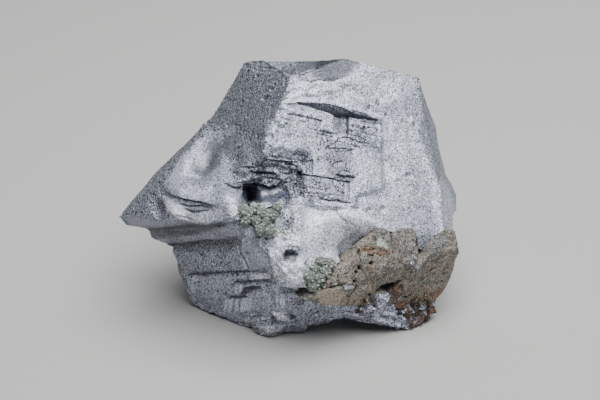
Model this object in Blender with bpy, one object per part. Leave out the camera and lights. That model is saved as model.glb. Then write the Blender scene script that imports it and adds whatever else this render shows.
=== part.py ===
"""Galena specimen: one intergrown lead-grey crystal with a patch of brown matrix and two green crusts.

The crystal stands on a small flat base at z = 0. +X is to the right of its show side and -Y is
towards the viewer. Lists of corners are in millimetres; everything in Blender is in metres.
"""
from collections import namedtuple
from math import radians
from random import Random
from statistics import median

import bmesh
import bpy
from mathutils import Matrix, Vector
from mathutils.bvhtree import BVHTree

# ---------------------------------------------------------------- driving dimensions
MM = 0.001                      # millimetres to metres
JOINT_GAP = 0.3                 # mm between the crystal and what is set in it
CENTRE = (0.0, 1.9)             # mm, middle of the specimen's outline on the ground
PIT_SEED = 11

Axes = namedtuple("Axes", "origin across down out")


def axes(origin, across, down, out):
    """A skewed set of axes: an origin in mm and three unit directions."""
    directions = [Vector(direction).normalized() for direction in (across, down, out)]
    return Axes(Vector(origin), *directions)


# The cube planes that the upper crystal splits along: across, down and out of its big right face.
CUBE = axes((0, 3.4, 36.1), (0.904, 0.228, -0.362), (-0.08, -0.741, -0.667), (0.421, -0.631, 0.651))
# The lower left crystal's own planes, from the left end of its long crack.
LOWER = axes((-17.5, -4.6, 7.5), (0.739, -0.555, 0.380), (0, 0.184, -0.983), (-0.541, -0.826, -0.155))
# The upper left face, from the middle of the face.
LEFT = axes((-8, 5, 31.6), (0.3, -0.95, -0.02), (-0.62, -0.2, -0.76), (-0.74, -0.25, 0.62))
# The lower right face, which holds the matrix, from the front corner.
RIGHT_FOOT = axes((1.7, -17.6, 13.2), (0.884, 0.467, 0), (0.07, -0.13, -0.99), (0.463, -0.874, 0.147))

# ---------------------------------------------------------------- the crystal's chunks, as corners
CORE = [
    # crown
    (-8.3, 19.5, 36.4), (-4.9, 16, 38.6), (0, 6.5, 40), (1.7, 12, 40.1), (9.3, 11, 41),
    (15.3, 11.5, 39.2), (22.3, 13, 36.5),
    # right flank, top to bottom
    (23.7, 12, 32.9), (22.9, 4.5, 28.7), (25.5, 12, 27.7), (25.5, -0.5, 22), (27, -4, 17),
    (28.2, 7, 15.5), (28.6, 4, 13.3), (28.8, -2, 10.1), (28.2, -3, 7.8), (26.6, -5, 5.7),
    (25, -7, 1.9), (22.9, -9, 0.7),
    # front corner and the ridges that meet there
    (1.7, -17.6, 13.2), (-0.8, -16, 9.9), (-6.4, -14.5, 21.4), (-4.5, -3.8, 30.9),
    # left flank
    (-14.1, 16.4, 27), (-14.8, 10.2, 23.7), (-20, -4, 13.1), (-19.5, -3, 6.8), (-17.1, -4, 2.8),
    (-16.3, -4, 0.3),
    # lower front edge
    (-9.4, -8.7, 0.9), (-5.3, -11, 0), (-3.4, -12, 0), (-1.7, -12, 0), (18.9, -10.5, 0.6),
    (20.8, -9.7, 0),
    # base
    (-13, 6, 0), (-2, 15, 0), (14, 13, 0), (22, 2, 0),
    # back
    (-4, 20, 34), (8, 20.5, 34), (-9, 20, 29), (22, 17, 30), (27, 14, 16), (20, 17, 4),
    (-2, 20, 6), (-16, 15, 10), (-19, 7, 12),
]
UPPER_WING = [
    # outer edge from the tip to the shoulder
    (-29.5, 0, 16.3), (-28.1, 0, 14.3), (-26.4, 1, 20.2), (-23.5, 3, 23.4), (-21.7, 5, 24.2),
    (-17.9, 9, 26.7), (-14.8, 12, 28.5),
    # lip
    (-21.8, -1, 25), (-21.4, -2.5, 24.3), (-19.7, -7, 24.2), (-16.3, -9.5, 24.5),
    (-12.1, -11.5, 24.9), (-8, -12.5, 25.5),
    # front band below the lip
    (-20.4, -7.5, 20.4), (-14.6, -12, 21.8), (-8, -15, 24.2), (-24.3, -2, 14.7),
    (-14.8, -10, 19.8), (-7.2, -14.5, 21.7),
    # root, inside the core
    (-8.3, -2, 26.5), (-6, 2, 25), (-8, 12, 22), (-14, 10, 17),
]
LOWER_WING = [
    (-24.3, -2, 14.9), (-24, -1, 12.3), (-20, -5, 13.1), (-14.9, -9.6, 17.5), (-6.4, -15, 21.3),
    (-14.8, -9.7, 19.8), (-20, 5, 12), (-22, 4, 17), (-8, 0, 14), (-6, -6, 22),
]
WING_FILLET = [
    (-14.2, 11, 28), (-9.5, 8, 29.4), (-6.8, 2, 30.2), (-5.2, -3, 30), (-7.5, -5.5, 27.2),
    (-12.5, -1.5, 27.3), (-16, 3.5, 27), (-8, 5, 24), (-6, -1, 25),
]
RIGHT_SHOULDER = [
    (26.6, 11, 20.6), (28.2, 10, 17.5), (29.5, 9, 15.6), (29.5, 6, 12.1), (29.1, 4, 11),
    (28, 1, 17.5), (26.5, 2, 21), (22, 8, 16), (25, 12, 12), (26, 13, 16),
]
BACK_LEDGE = [
    (-17, 12, 21), (-15, 17, 24), (-6, 21.3, 22), (4, 21.4, 20), (6, 21.2, 12), (-3, 21.4, 9),
    (-14, 17.5, 11), (-17, 12.5, 15), (0, 10, 16),
]
FOOT_LUMPS = [
    # the nub under the front corner
    [(-6.6, -11.4, 0.8), (-5.2, -12.2, 0.1), (-3.6, -12.8, 0), (-1.8, -12.6, 0), (1.2, -12, 1.8),
     (2.4, -13.8, 4.4), (-2, -14.2, 4.6), (-6.2, -12.2, 3.6), (-3, -8, 0), (-3, -9, 5), (1, -10, 5)],
    # the broken strip under the matrix
    [(3.4, -12.6, 2.4), (6.1, -12.7, 3), (8.1, -12.6, 4.2), (10.5, -12.9, 6.2), (3.4, -14.6, 5.8),
     (5, -10, 3), (10, -9, 4), (8, -9, 7), (3, -10, 5)],
    [(10.8, -12, 3.6), (14.9, -11.3, 2.1), (18.9, -10.8, 0.9), (20.9, -10, 0), (22.9, -9.4, 0.7),
     (18.6, -10.6, 4.6), (11, -13, 6.4), (22, -8.6, 3.4), (12, -9, 3), (20, -5, 2), (20, -5, 6)],
]
FOOT_ARCH = [
    (0.4, -22, -1), (18.4, -22, -1), (6, -22, 3.6), (8.6, -22, 4.3), (11.5, -22, 3.7),
    (3.6, -11, 1.5), (17, -10, 0.8), (9, -8, 2.6), (4, -2, -1), (15, -1, -1),
]

# ---------------------------------------------------------------- cleavage steps
# Each recess in the big right face: across and down ranges along CUBE and its floor, in mm.
OPEN = 6.0                      # how far each recess runs out past the face
STEPS = [
    ((-0.4, 8.8), (-0.3, 11.7), 0.0),        # broad upper plate
    ((2.4, 9.0), (-0.5, 0.4), -0.4),         # undercut along its top edge
    ((8.4, 13.4), (-0.6, 0.7), -0.6),
    ((8.6, 11.2), (-0.8, 3.0), 0.4),         # grey strip, above and below its one loose block
    ((8.6, 11.2), (4.9, 10.4), 0.5),
    ((11.0, 16.2), (-0.2, 5.2), 1.3),        # blocky right part
    ((13.0, 15.6), (1.2, 3.2), 1.0),
    ((11.0, 14.4), (5.0, 10.6), 1.4),
    ((3.4, 12.1), (11.1, 15.2), 0.0),        # striated lower plate
    ((3.3, 12.1), (10.8, 11.3), -1.2),       # undercut along its top edge
    ((8.0, 11.6), (14.9, 15.3), -0.5),
    ((3.3, 6.0), (8.4, 11.0), -2.0),         # dark notch at the left end of that undercut
    ((1.0, 3.7), (9.9, 15.6), -1.2),         # grey column left of the plates
    ((-6.0, 1.6), (12.6, 17.4), -3.0),       # sheltered hollow under the middle ledges
    ((-5.2, -2.6), (13.6, 17.4), -9.0),      # its deep black cavity
    ((-2.6, 1.2), (11.2, 12.8), -1.4),
]
# Steps in the lower left crystal: ranges along LOWER.
LOWER_STEPS = [
    ((-1.5, 16.8), (-0.35, 0.2), -0.9),      # the long crack
    ((7.5, 15.5), (0.1, 1.7), -0.6),         # short stairs below it
    ((9.0, 13.5), (1.6, 2.9), -1.0),
    ((8.0, 11.0), (2.8, 4.2), -0.5),
    ((-1.5, 0.5), (0.1, 3.4), -0.4),
]
# The staircase of cube faces on the hidden back: across range, then the down and out limits that
# each missing block reaches in to, along CUBE.
BACK_STAIRS = [
    ((8, 19), -6.8, -12.6), ((-1, 12), -4.4, -16.2), ((11, 24), -1.6, -18.4),
    ((0, 10), 0.6, -22.0), ((9, 30), 3.4, -23.4), ((2, 16), 5.2, -27.0),
]

# ---------------------------------------------------------------- the matrix and the crusts
MATRIX_PROUD = 0.35             # mm that the matrix stands out of the crystal
MATRIX_DEPTH = 3.0              # mm that it runs into the crystal
# Outlines of the three lobes on the big right face, and of their feet on the lower right face. The
# left and middle lobes share a foot and a notch.
LEFT_LOBE_TOP = [
    (7.9, -14.1, 14.1), (10.3, -12.4, 14.9), (11.2, -10.1, 16.3), (12.6, -8.5, 17.5),
    (14, -7.8, 18.2), (15.2, -7.6, 18.5), (16.2, -7.5, 18.1), (16.9, -7.8, 17.3),
]
MIDDLE_LOBE_TOP = [
    (16.7, -7.9, 17.2), (17.8, -7.1, 17.9), (19.1, -6.6, 18), (20.3, -6.1, 17.7), (21, -6.4, 16.9),
    (21.1, -7.5, 15.2), (20.9, -9.5, 13.1),
]
MAIN_FOOT = [
    (2.2, -17.7, 11), (5, -16, 12.8), (8.2, -14.3, 14.2), (14.6, -10.9, 15.1), (21.2, -9.2, 12.6),
    (6.6, -15.7, 8.7), (10, -14.1, 7.6), (13.4, -12.4, 7.2), (18.6, -10, 5.3), (22.6, -8.2, 4.6),
]
RIGHT_LOBE_TOP = [(23.8, -7.9, 13.8), (24.7, -5.5, 15.8), (26, -4.5, 16.4), (27.6, -4.2, 15.9)]
RIGHT_FOOT_OUTLINE = [
    (20.4, -9.6, 11.6), (18.6, -10, 5.3), (23.9, -7.5, 3.2), (25.3, -6.6, 4.3), (26.5, -5.7, 6.1),
    (27.6, -4.6, 8.7), (28.2, -4, 11), (28.2, -5.4, 13.2), (23.2, -8, 13),
]
# Crust outlines, along CUBE: across and down.
LEFT_CRUST = [
    (-6.1, 19.3), (-2, 18.9), (-0.9, 17), (0.2, 17.2), (0.3, 18.6), (-0.5, 19.9), (-0.9, 21.6),
    (-1.2, 23.2), (-2.6, 23.2), (-3.6, 21.6), (-5, 21.4), (-6.1, 20.3),
]
RIGHT_CRUST = [
    (5.6, 29.6), (6.9, 27.8), (7.7, 25.6), (10, 24.6), (10.8, 25.4), (10, 26.9), (8.8, 28.9),
    (7.5, 30.6), (5.8, 31.2),
]
CRUST_PITCH = 1.55              # mm between neighbouring lumps
CRUST_LUMP = 1.12               # mm, a lump's radius
CRUST_SAG = 0.9                 # mm that a lump may lie below the crust's middle level
CRUST_SEED = 4
BED_REACH = 3.0                 # mm kept clear in front of a crust

# ---------------------------------------------------------------- pits: face axes, half spans, count
PIT_FIELDS = [
    (LEFT, (12, 12), 40), (LOWER, (22, 9), 30), (CUBE, (26, 22), 40),
]
PIT_WIDTH = (0.7, 1.2)          # mm
PIT_DEPTH = 0.45                # mm
PIT_SPACING = 1.9               # mm between pits


# ---------------------------------------------------------------- shapes
def mesh_object(name, builder):
    """An object in the scene that takes its mesh from a bmesh."""
    mesh = bpy.data.meshes.new(name)
    bmesh.ops.recalc_face_normals(builder, faces=builder.faces)
    builder.to_mesh(mesh)
    builder.free()
    shape = bpy.data.objects.new(name, mesh)
    bpy.context.scene.collection.objects.link(shape)
    return shape


def hull(name, corners):
    """The convex solid with these corners, in mm."""
    builder = bmesh.new()
    for corner in corners:
        builder.verts.new(Vector(corner) * MM)
    result = bmesh.ops.convex_hull(builder, input=builder.verts)
    spare = {item for item in result["geom_interior"] + result["geom_unused"]
             if isinstance(item, bmesh.types.BMVert)}
    bmesh.ops.delete(builder, geom=list(spare), context="VERTS")
    return mesh_object(name, builder)


def block(name, frame, across, down, out):
    """A cleavage block: its ranges along the three directions of a set of axes."""
    corners = [frame.origin + frame.across * a + frame.down * d + frame.out * o
               for a in across for d in down for o in out]
    return hull(name, corners)


def ellipsoid(name, centre, radii, turn=(0, 0, 0), detail=2):
    """A faceted ellipsoid: centre and radii in mm, and its turn about X, Y and Z in degrees."""
    builder = bmesh.new()
    place = (Matrix.Translation(Vector(centre) * MM)
             @ Matrix.Rotation(radians(turn[2]), 4, "Z") @ Matrix.Rotation(radians(turn[1]), 4, "Y")
             @ Matrix.Rotation(radians(turn[0]), 4, "X")
             @ Matrix.Diagonal((*(Vector(radii) * MM), 1)))
    bmesh.ops.create_icosphere(builder, subdivisions=detail, radius=1, matrix=place)
    return mesh_object(name, builder)


def bed(name, centre, radius, turn, reach):
    """The room that a round lump needs, with nothing left standing in front of it."""
    ball = ellipsoid(f"{name}_ball", centre, (radius,) * 3, turn, 1)
    corners = [corner.co / MM + CUBE.out * out for corner in ball.data.vertices for out in (0, reach)]
    bpy.data.objects.remove(ball)
    return hull(name, corners)


def octahedron(name, centre, reach, frame, truncation=0.62):
    """A galena crystal: an octahedron whose six tips are cut square by cube faces."""
    corners = []
    directions = (frame.across, frame.down, frame.out)
    for main in range(3):
        for side in range(3):
            if side == main:
                continue
            for main_sign in (-1, 1):
                for side_sign in (-1, 1):
                    tip = directions[main] * main_sign * truncation
                    tip = tip + directions[side] * side_sign * (1 - truncation)
                    corners.append(Vector(centre) + tip * reach)
    return hull(name, corners)


def pit(name, place, normal, frame, width):
    """A small upside-down pyramid that etches a face; its sides run on past the face."""
    across = frame.across.cross(normal).cross(normal).normalized()
    down = normal.cross(across)
    corners = [place - normal * PIT_DEPTH]
    for a, d in ((-1, -1), (1, -1), (1, 1), (-1, 1)):
        corners.append(place + normal * PIT_DEPTH + across * a * width + down * d * width * 0.8)
    return hull(name, corners)


def grown(corners, gap):
    """Corners of a solid that clears another by a gap all round."""
    return [Vector(corner) + Vector((x, y, z)) * gap
            for corner in corners for x in (-1, 1) for y in (-1, 1) for z in (-1, 1)]


# ---------------------------------------------------------------- joining and cutting
def group(name, shapes):
    """A hidden collection of construction shapes."""
    collection = bpy.data.collections.new(name)
    bpy.context.scene.collection.children.link(collection)
    for shape in shapes:
        bpy.context.scene.collection.objects.unlink(shape)
        collection.objects.link(shape)
        shape.hide_render = True
        shape.display_type = "WIRE"
    return collection


def boolean(target, operation, shapes, solver="EXACT"):
    """Join a group of shapes to a target, or cut them from it."""
    modifier = target.modifiers.new(shapes.name, "BOOLEAN")
    modifier.operation = operation
    modifier.operand_type = "COLLECTION"
    modifier.collection = shapes
    modifier.solver = solver


def material(name, colour, roughness, metallic):
    """A plain Principled material."""
    finish = bpy.data.materials.new(name)
    finish.use_nodes = True
    shader = finish.node_tree.nodes["Principled BSDF"]
    shader.inputs["Base Color"].default_value = (*colour, 1)
    shader.inputs["Roughness"].default_value = roughness
    shader.inputs["Metallic"].default_value = metallic
    return finish


class Surface:
    """The crystal's outside as it is so far, to find where things sit on it."""

    def __init__(self, crystal):
        bpy.context.view_layer.update()
        self.tree = BVHTree.FromObject(crystal, bpy.context.evaluated_depsgraph_get())

    def under(self, frame, across, down):
        """The place and normal, in mm, of the outside below a point over a set of axes."""
        start = frame.origin + frame.across * across + frame.down * down + frame.out * 12
        place, normal, _, _ = self.tree.ray_cast(start * MM, -frame.out)
        return (place / MM, normal) if place else (None, None)

    def is_flat(self, frame, across, down, margin=1.1):
        """Whether one flat face carries the whole neighbourhood of a point over a set of axes."""
        _, middle = self.under(frame, across, down)
        if middle is None or middle.dot(frame.out) < 0.85:
            return False
        for a, d in ((-1, -1), (1, -1), (1, 1), (-1, 1)):
            _, normal = self.under(frame, across + a * margin, down + d * margin)
            if normal is None or normal.dot(middle) < 0.99:
                return False
        return True


def inside(outline, point):
    """Whether a flat point lies in a flat outline."""
    crossings = 0
    for (x0, y0), (x1, y1) in zip(outline, outline[1:] + outline[:1]):
        if (y0 > point[1]) != (y1 > point[1]):
            crossings += point[0] < x0 + (point[1] - y0) / (y1 - y0) * (x1 - x0)
    return crossings % 2 == 1


# ---------------------------------------------------------------- the pieces
def galena_growths():
    """The chunks that the main crystal is grown together with."""
    growths = [hull("growth_upper_wing", UPPER_WING), hull("growth_lower_wing", LOWER_WING),
               hull("growth_wing_fillet", WING_FILLET), hull("growth_right_shoulder", RIGHT_SHOULDER),
               hull("growth_back_ledge", BACK_LEDGE)]
    for number, lump in enumerate(FOOT_LUMPS):
        growths.append(hull(f"growth_foot_{number}", lump))
    growths.append(octahedron("growth_back_right", (12, 11, 20), 15.5, CUBE))
    growths.append(octahedron("growth_back_left", (-6, 12, 14), 13.5, LOWER))
    return growths


def galena_steps():
    """The blocks that have split away along the cleavage planes."""
    far = -60
    steps = [block(f"back_stair_{number}", CUBE, across, (far, down), (far, out))
             for number, (across, down, out) in enumerate(BACK_STAIRS)]
    for number, (across, down, floor) in enumerate(STEPS):
        steps.append(block(f"step_{number}", CUBE, across, down, (floor, OPEN)))
    for number, (across, down, floor) in enumerate(LOWER_STEPS):
        steps.append(block(f"lower_step_{number}", LOWER, across, down, (floor, OPEN)))
    return steps


def galena_hollows():
    """The soft, melted-looking hollows and the arch under the front."""
    return [
        ellipsoid("hollow_under_lip", (-15.4, -11.4, 23.0), (7.8, 2.3, 1.6), (0, -6, -33)),
        ellipsoid("hollow_lip_end", (-22.4, -5.6, 22.0), (1.7, 2.6, 2.9), (0, -12, 0)),
        ellipsoid("hollow_wing_top", (-13.5, -1.5, 30.8), (6.5, 5.0, 4.6), (0, 14, -20)),
        ellipsoid("hollow_lower_right", (11.5, -14.0, 20.5), (9.0, 6.5, 6.2), (38, 12, 20)),
        ellipsoid("hollow_small", (0.2, -14.9, 17.4), (1.0, 1.6, 0.9), (30, 0, 0), 1),
        hull("arch_foot", FOOT_ARCH),
        hull("notch_below_lip", [(-3, -19, 8.5), (3.4, -19, 8.2), (3.6, -19, 11), (-1.6, -19, 11.4),
                                 (-1.4, -14, 9.2), (2.8, -14.4, 9.2), (1, -14.6, 11)]),
    ]


def galena_pits(surface):
    """Etch pits scattered over the dull faces."""
    rng = Random(PIT_SEED)
    places = []
    pits = []
    for frame, (half_across, half_down), count in PIT_FIELDS:
        made = 0
        while made < count:
            across = rng.uniform(-1, 1) * half_across
            down = rng.uniform(-1, 1) * half_down
            made += 1
            if not surface.is_flat(frame, across, down):
                continue
            place, normal = surface.under(frame, across, down)
            if all((place - other).length > PIT_SPACING for other in places):
                places.append(place)
                pits.append(pit(f"pit_{len(pits)}", place, normal, frame, rng.uniform(*PIT_WIDTH)))
    return pits


def build_galena():
    """The whole intergrown crystal as one solid."""
    crystal = hull("galena_crystal", CORE)
    boolean(crystal, "UNION", group("growths", galena_growths()))
    boolean(crystal, "DIFFERENCE", group("steps", galena_steps()))
    boolean(crystal, "DIFFERENCE", group("hollows", galena_hollows()), "MANIFOLD")
    boolean(crystal, "DIFFERENCE", group("pits", galena_pits(Surface(crystal))), "MANIFOLD")
    crystal.data.materials.append(material("galena", (0.20, 0.205, 0.22), 0.42, 0.85))
    return crystal


def matrix_lobe(top, foot):
    """Corners of one lobe of matrix: proud of two faces of the crystal, and set into them."""
    corners = []
    for outline, out in ((top, Vector((0.3, -0.7, 0.65)).normalized()), (foot, RIGHT_FOOT.out)):
        for corner in outline:
            corners += [Vector(corner) + out * MATRIX_PROUD, Vector(corner) - out * MATRIX_DEPTH]
    return corners


def build_matrix(crystal):
    """The brown matrix in its pocket: three lobes with notches between them."""
    lobes = [matrix_lobe(LEFT_LOBE_TOP, MAIN_FOOT), matrix_lobe(MIDDLE_LOBE_TOP, MAIN_FOOT),
             matrix_lobe(RIGHT_LOBE_TOP, RIGHT_FOOT_OUTLINE)]
    matrix = hull("siderite_matrix", lobes[0])
    boolean(matrix, "UNION", group("lobes", [hull("middle_lobe", lobes[1]), hull("right_lobe", lobes[2])]))
    pockets = []
    for number, corners in enumerate(lobes):
        clear = grown(corners, JOINT_GAP)
        outward = [corner + (CUBE.out + RIGHT_FOOT.out) * 1.6 for corner in corners]
        pockets.append(hull(f"matrix_pocket_{number}", clear + outward))
    boolean(crystal, "DIFFERENCE", group("matrix_pocket", pockets), "MANIFOLD")
    matrix.data.materials.append(material("siderite", (0.24, 0.17, 0.10), 0.85, 0.0))
    return matrix


def level(place):
    """How far out a place lies along CUBE."""
    return (place - CUBE.origin).dot(CUBE.out)


def build_crust(name, outline, surface, neighbours):
    """A crust of fused round lumps, seated in the surface of its neighbours."""
    rng = Random(CRUST_SEED)
    low = [min(corner[axis] for corner in outline) for axis in (0, 1)]
    high = [max(corner[axis] for corner in outline) for axis in (0, 1)]
    rows = int((high[1] - low[1]) / (CRUST_PITCH * 0.87)) + 1
    columns = int((high[0] - low[0]) / CRUST_PITCH) + 2
    lumps = []
    for row in range(rows):
        for column in range(columns):
            flat = (low[0] + (column + row % 2 / 2) * CRUST_PITCH, low[1] + row * CRUST_PITCH * 0.87)
            if not inside(outline, flat):
                continue
            place, _ = surface.under(CUBE, *flat)
            lumps.append((place, CRUST_LUMP * rng.uniform(0.9, 1.15), rng.uniform(0, 90)))
    middle = median(level(place) for place, _, _ in lumps)
    for place, _, _ in lumps:
        place += CUBE.out * (max(level(place), middle - CRUST_SAG) - level(place))
    shapes = [ellipsoid(f"{name}_lump_{number}", place, (radius, radius, radius), (turn, turn, 0), 1)
              for number, (place, radius, turn) in enumerate(lumps)]
    beds = [bed(f"{name}_bed_{number}", place, radius + 1.5 * JOINT_GAP, (turn, turn, 0), BED_REACH)
            for number, (place, radius, turn) in enumerate(lumps)]
    crust = shapes.pop(0)
    crust.name = name
    boolean(crust, "UNION", group(f"{name}_lumps", shapes))
    room = group(f"{name}_room", beds)
    for neighbour in neighbours:
        boolean(neighbour, "DIFFERENCE", room, "MANIFOLD")
    crust.data.materials.append(material(name, (0.42, 0.50, 0.40), 0.6, 0.0))
    return crust


def main():
    for thing in list(bpy.data.objects):
        bpy.data.objects.remove(thing)
    crystal = build_galena()
    surface = Surface(crystal)
    matrix = build_matrix(crystal)
    build_crust("green_crust_left", LEFT_CRUST, surface, [crystal])
    build_crust("green_crust_right", RIGHT_CRUST, surface, [crystal, matrix])
    specimen = bpy.data.objects.new("specimen", None)
    bpy.context.scene.collection.objects.link(specimen)
    specimen.location = Vector((-CENTRE[0], -CENTRE[1], 0)) * MM
    for shape in bpy.data.objects:
        if shape.type == "MESH":
            shape.parent = specimen


main()
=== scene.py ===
"""The galena specimen's looks, laid out as a Blender add-on and run as a script.

The crystal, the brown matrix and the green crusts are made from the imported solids. Sculpting works
in millimetres, in a frame that lies FRAME_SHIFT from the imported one, with the show side towards -Y.
"""

from itertools import product
from math import radians, sin, cos, pi
from random import Random

import bmesh
import bpy
import numpy as np
from mathutils import Euler, Matrix, Vector
from mathutils.bvhtree import BVHTree
from mathutils.kdtree import KDTree


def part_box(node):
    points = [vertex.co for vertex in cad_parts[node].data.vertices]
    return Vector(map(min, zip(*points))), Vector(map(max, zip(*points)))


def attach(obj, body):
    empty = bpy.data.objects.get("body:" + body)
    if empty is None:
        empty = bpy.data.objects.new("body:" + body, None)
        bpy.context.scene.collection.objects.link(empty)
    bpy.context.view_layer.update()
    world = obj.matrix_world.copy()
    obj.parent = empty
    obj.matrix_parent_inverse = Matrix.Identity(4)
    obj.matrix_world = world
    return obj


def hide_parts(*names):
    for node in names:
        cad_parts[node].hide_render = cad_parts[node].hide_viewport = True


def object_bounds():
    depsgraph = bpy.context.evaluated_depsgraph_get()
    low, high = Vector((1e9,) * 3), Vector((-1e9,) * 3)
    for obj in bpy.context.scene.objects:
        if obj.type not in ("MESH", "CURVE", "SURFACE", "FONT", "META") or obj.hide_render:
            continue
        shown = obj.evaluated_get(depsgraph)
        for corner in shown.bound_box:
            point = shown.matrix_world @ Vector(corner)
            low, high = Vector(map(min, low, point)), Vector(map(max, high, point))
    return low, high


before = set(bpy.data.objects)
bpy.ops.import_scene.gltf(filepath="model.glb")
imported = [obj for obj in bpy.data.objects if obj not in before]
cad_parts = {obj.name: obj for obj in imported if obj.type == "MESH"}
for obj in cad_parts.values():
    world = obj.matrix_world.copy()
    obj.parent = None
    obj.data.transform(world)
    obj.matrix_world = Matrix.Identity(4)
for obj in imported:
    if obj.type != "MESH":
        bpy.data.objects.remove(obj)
CAD_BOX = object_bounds()

bl_info = {
    "name": "Galena Specimen",
    "version": (1, 0, 0),
    "blender": (4, 5, 0),
    "location": "View3D > Sidebar > Galena",
    "description": "Builds a galena specimen with siderite and green crusts around its packed solids",
    "category": "Add Mesh",
}

MM = 0.001                                  # millimetres to metres
FRAME_SHIFT = np.array((0.0, 1.9, 0.0))     # mm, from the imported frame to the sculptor's frame
BOX_MARGIN = 0.02                           # mm that the pieces stay inside the CAD model's box
DOUBLED = 0.0001                            # mm within which the CAD meshes' corners are doubled


# ---------------------------------------------------------------- directions on the specimen
def unit(direction):
    """A direction with length 1."""
    direction = np.array(direction, float)
    return direction / np.linalg.norm(direction)


class Axes:
    """Skewed axes on one face: an origin in mm, and directions across, down and out of the face."""

    def __init__(self, origin, across, down, out):
        self.origin = np.array(origin, float)
        self.across, self.down, self.out = unit(across), unit(down), unit(out)

    def spread(self, spots):
        """How far spots lie across, down and out, in mm."""
        basis = np.stack([self.across, self.down, self.out], axis=1)
        return (spots - self.origin) @ np.linalg.inv(basis).T


CUBE = Axes((0, 3.4, 36.1), (0.904, 0.228, -0.362), (-0.08, -0.741, -0.667), (0.421, -0.631, 0.651))
LOWER = Axes((-17.5, -4.6, 7.5), (0.739, -0.555, 0.380), (0, 0.184, -0.983), (-0.541, -0.826, -0.155))
MATRIX_GRAIN = Axes((0, 0, 0), (0.78, -0.05, 0.62), (-0.62, -0.1, 0.78), (0.1, -0.99, 0.0))

# ---------------------------------------------------------------- the show view
EYE = np.array((1.7, -245.1, 161.1))        # mm, where the specimen is looked at from
LENS = 100.0                                # mm
SENSOR = 36.0                               # mm
TILT = radians(30)                          # how far down the eye looks
PICTURE = (600, 400)                        # pixels that the outlines below are given in
TOWARD = np.array((0, -cos(TILT), sin(TILT)))


def picture_spots(spots):
    """Where spots in mm show in the picture, in pixels, and how far they are from the eye."""
    reach = spots - EYE
    depth = reach @ np.array((0, cos(TILT), -sin(TILT)))
    scale = LENS / SENSOR * PICTURE[0] / depth
    across = PICTURE[0] / 2 + reach[:, 0] * scale
    up = reach @ np.array((0, sin(TILT), cos(TILT)))
    return np.stack([across, PICTURE[1] / 2 - up * scale], axis=1), depth


def sight(pixel):
    """The way from the eye through a picture pixel, as long as 1 mm of depth needs."""
    scale = LENS / SENSOR * PICTURE[0]
    return (np.array((0, cos(TILT), -sin(TILT))) + np.array((1, 0, 0)) * (pixel[0] - PICTURE[0] / 2) / scale
            + np.array((0, sin(TILT), cos(TILT))) * (PICTURE[1] / 2 - pixel[1]) / scale)


# ---------------------------------------------------------------- settings a user would change
class GalenaSettings(bpy.types.PropertyGroup):
    """Sizes and colours of the galena crystal."""

    octree_depth: bpy.props.IntProperty(
        name="Detail", description="Octree depth of the fine crystal surface", default=8, min=6, max=9)
    triangles: bpy.props.IntProperty(
        name="Triangles", description="Most triangles the crystal keeps", default=192000)
    colour: bpy.props.FloatVectorProperty(
        name="Colour", description="Clean galena", subtype="COLOR", default=(0.53, 0.56, 0.66))
    # Dull etched galena, also used as painted shade where faces turn from the light.
    dull_and_shade_colour: bpy.props.FloatVectorProperty(
        name="Dull colour", description="Etched, tarnished galena", subtype="COLOR",
        default=(0.295, 0.31, 0.36))
    # Painted shade: the darkest galena in hollows, under lips and ledges and on faces in shadow; also worn
    # patches at the back.
    tarnish_and_shade: bpy.props.FloatVectorProperty(
        name="Tarnish colour", description="Darkest galena, in sheltered hollows", subtype="COLOR",
        default=(0.05, 0.052, 0.064))
    # Painted shade inside the pits.
    pit_shade_colour: bpy.props.FloatVectorProperty(
        name="Pit colour", description="Inside the etch pits", subtype="COLOR",
        default=(0.045, 0.046, 0.054))
    # Newly broken faces, also used as painted highlights and as painted light in shaded hollows.
    fresh_and_highlight_colour: bpy.props.FloatVectorProperty(
        name="Fresh colour", description="Newly broken cleavage faces", subtype="COLOR",
        default=(0.80, 0.84, 0.95))
    roughness: bpy.props.FloatProperty(
        name="Roughness", description="Of clean galena", default=0.56, min=0, max=1)


class SideriteSettings(bpy.types.PropertyGroup):
    """Sizes and colours of the brown matrix."""

    cell: bpy.props.FloatProperty(
        name="Cell", description="Size of the fine surface's voxels", unit="LENGTH", default=0.00017)
    olive: bpy.props.FloatVectorProperty(
        name="Olive", description="Fresh siderite", subtype="COLOR", default=(0.175, 0.168, 0.148))
    brown: bpy.props.FloatVectorProperty(
        name="Brown", description="Weathered siderite", subtype="COLOR", default=(0.165, 0.146, 0.122))
    rust: bpy.props.FloatVectorProperty(
        name="Rust", description="Iron stain in the pores", subtype="COLOR", default=(0.17, 0.085, 0.042))
    pale: bpy.props.FloatVectorProperty(
        name="Pale", description="Tan patches", subtype="COLOR", default=(0.36, 0.31, 0.25))


class CrustSettings(bpy.types.PropertyGroup):
    """Sizes and colours of the green crusts."""

    grain: bpy.props.FloatProperty(
        name="Grain", description="Radius of a crystal bead", unit="LENGTH", default=0.00027)
    colour: bpy.props.FloatVectorProperty(
        name="Colour", description="Pale grey-green", subtype="COLOR", default=(0.41, 0.465, 0.425))
    shade: bpy.props.FloatVectorProperty(
        name="Shade", description="Darker green between beads", subtype="COLOR",
        default=(0.075, 0.088, 0.074))


class StageSettings(bpy.types.PropertyGroup):
    """The floor and the light."""

    floor_colour: bpy.props.FloatVectorProperty(
        name="Floor", description="Plain pale floor", subtype="COLOR", default=(0.43, 0.43, 0.42))
    key_power: bpy.props.FloatProperty(
        name="Overhead light", description="Power of the large overhead softbox", default=0.9)
    world_strength: bpy.props.FloatProperty(
        name="Room light", description="Strength of the dim room", default=0.105)


# ---------------------------------------------------------------- shader graphs
MIX_FIRST, MIX_SECOND, MIX_RESULT = 6, 7, 2     # the Mix node's colour sockets
PIT_FADE, PIT_RIM = 0.35, 0.45                  # how softly the pits thin out, and how soft their rims are


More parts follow.
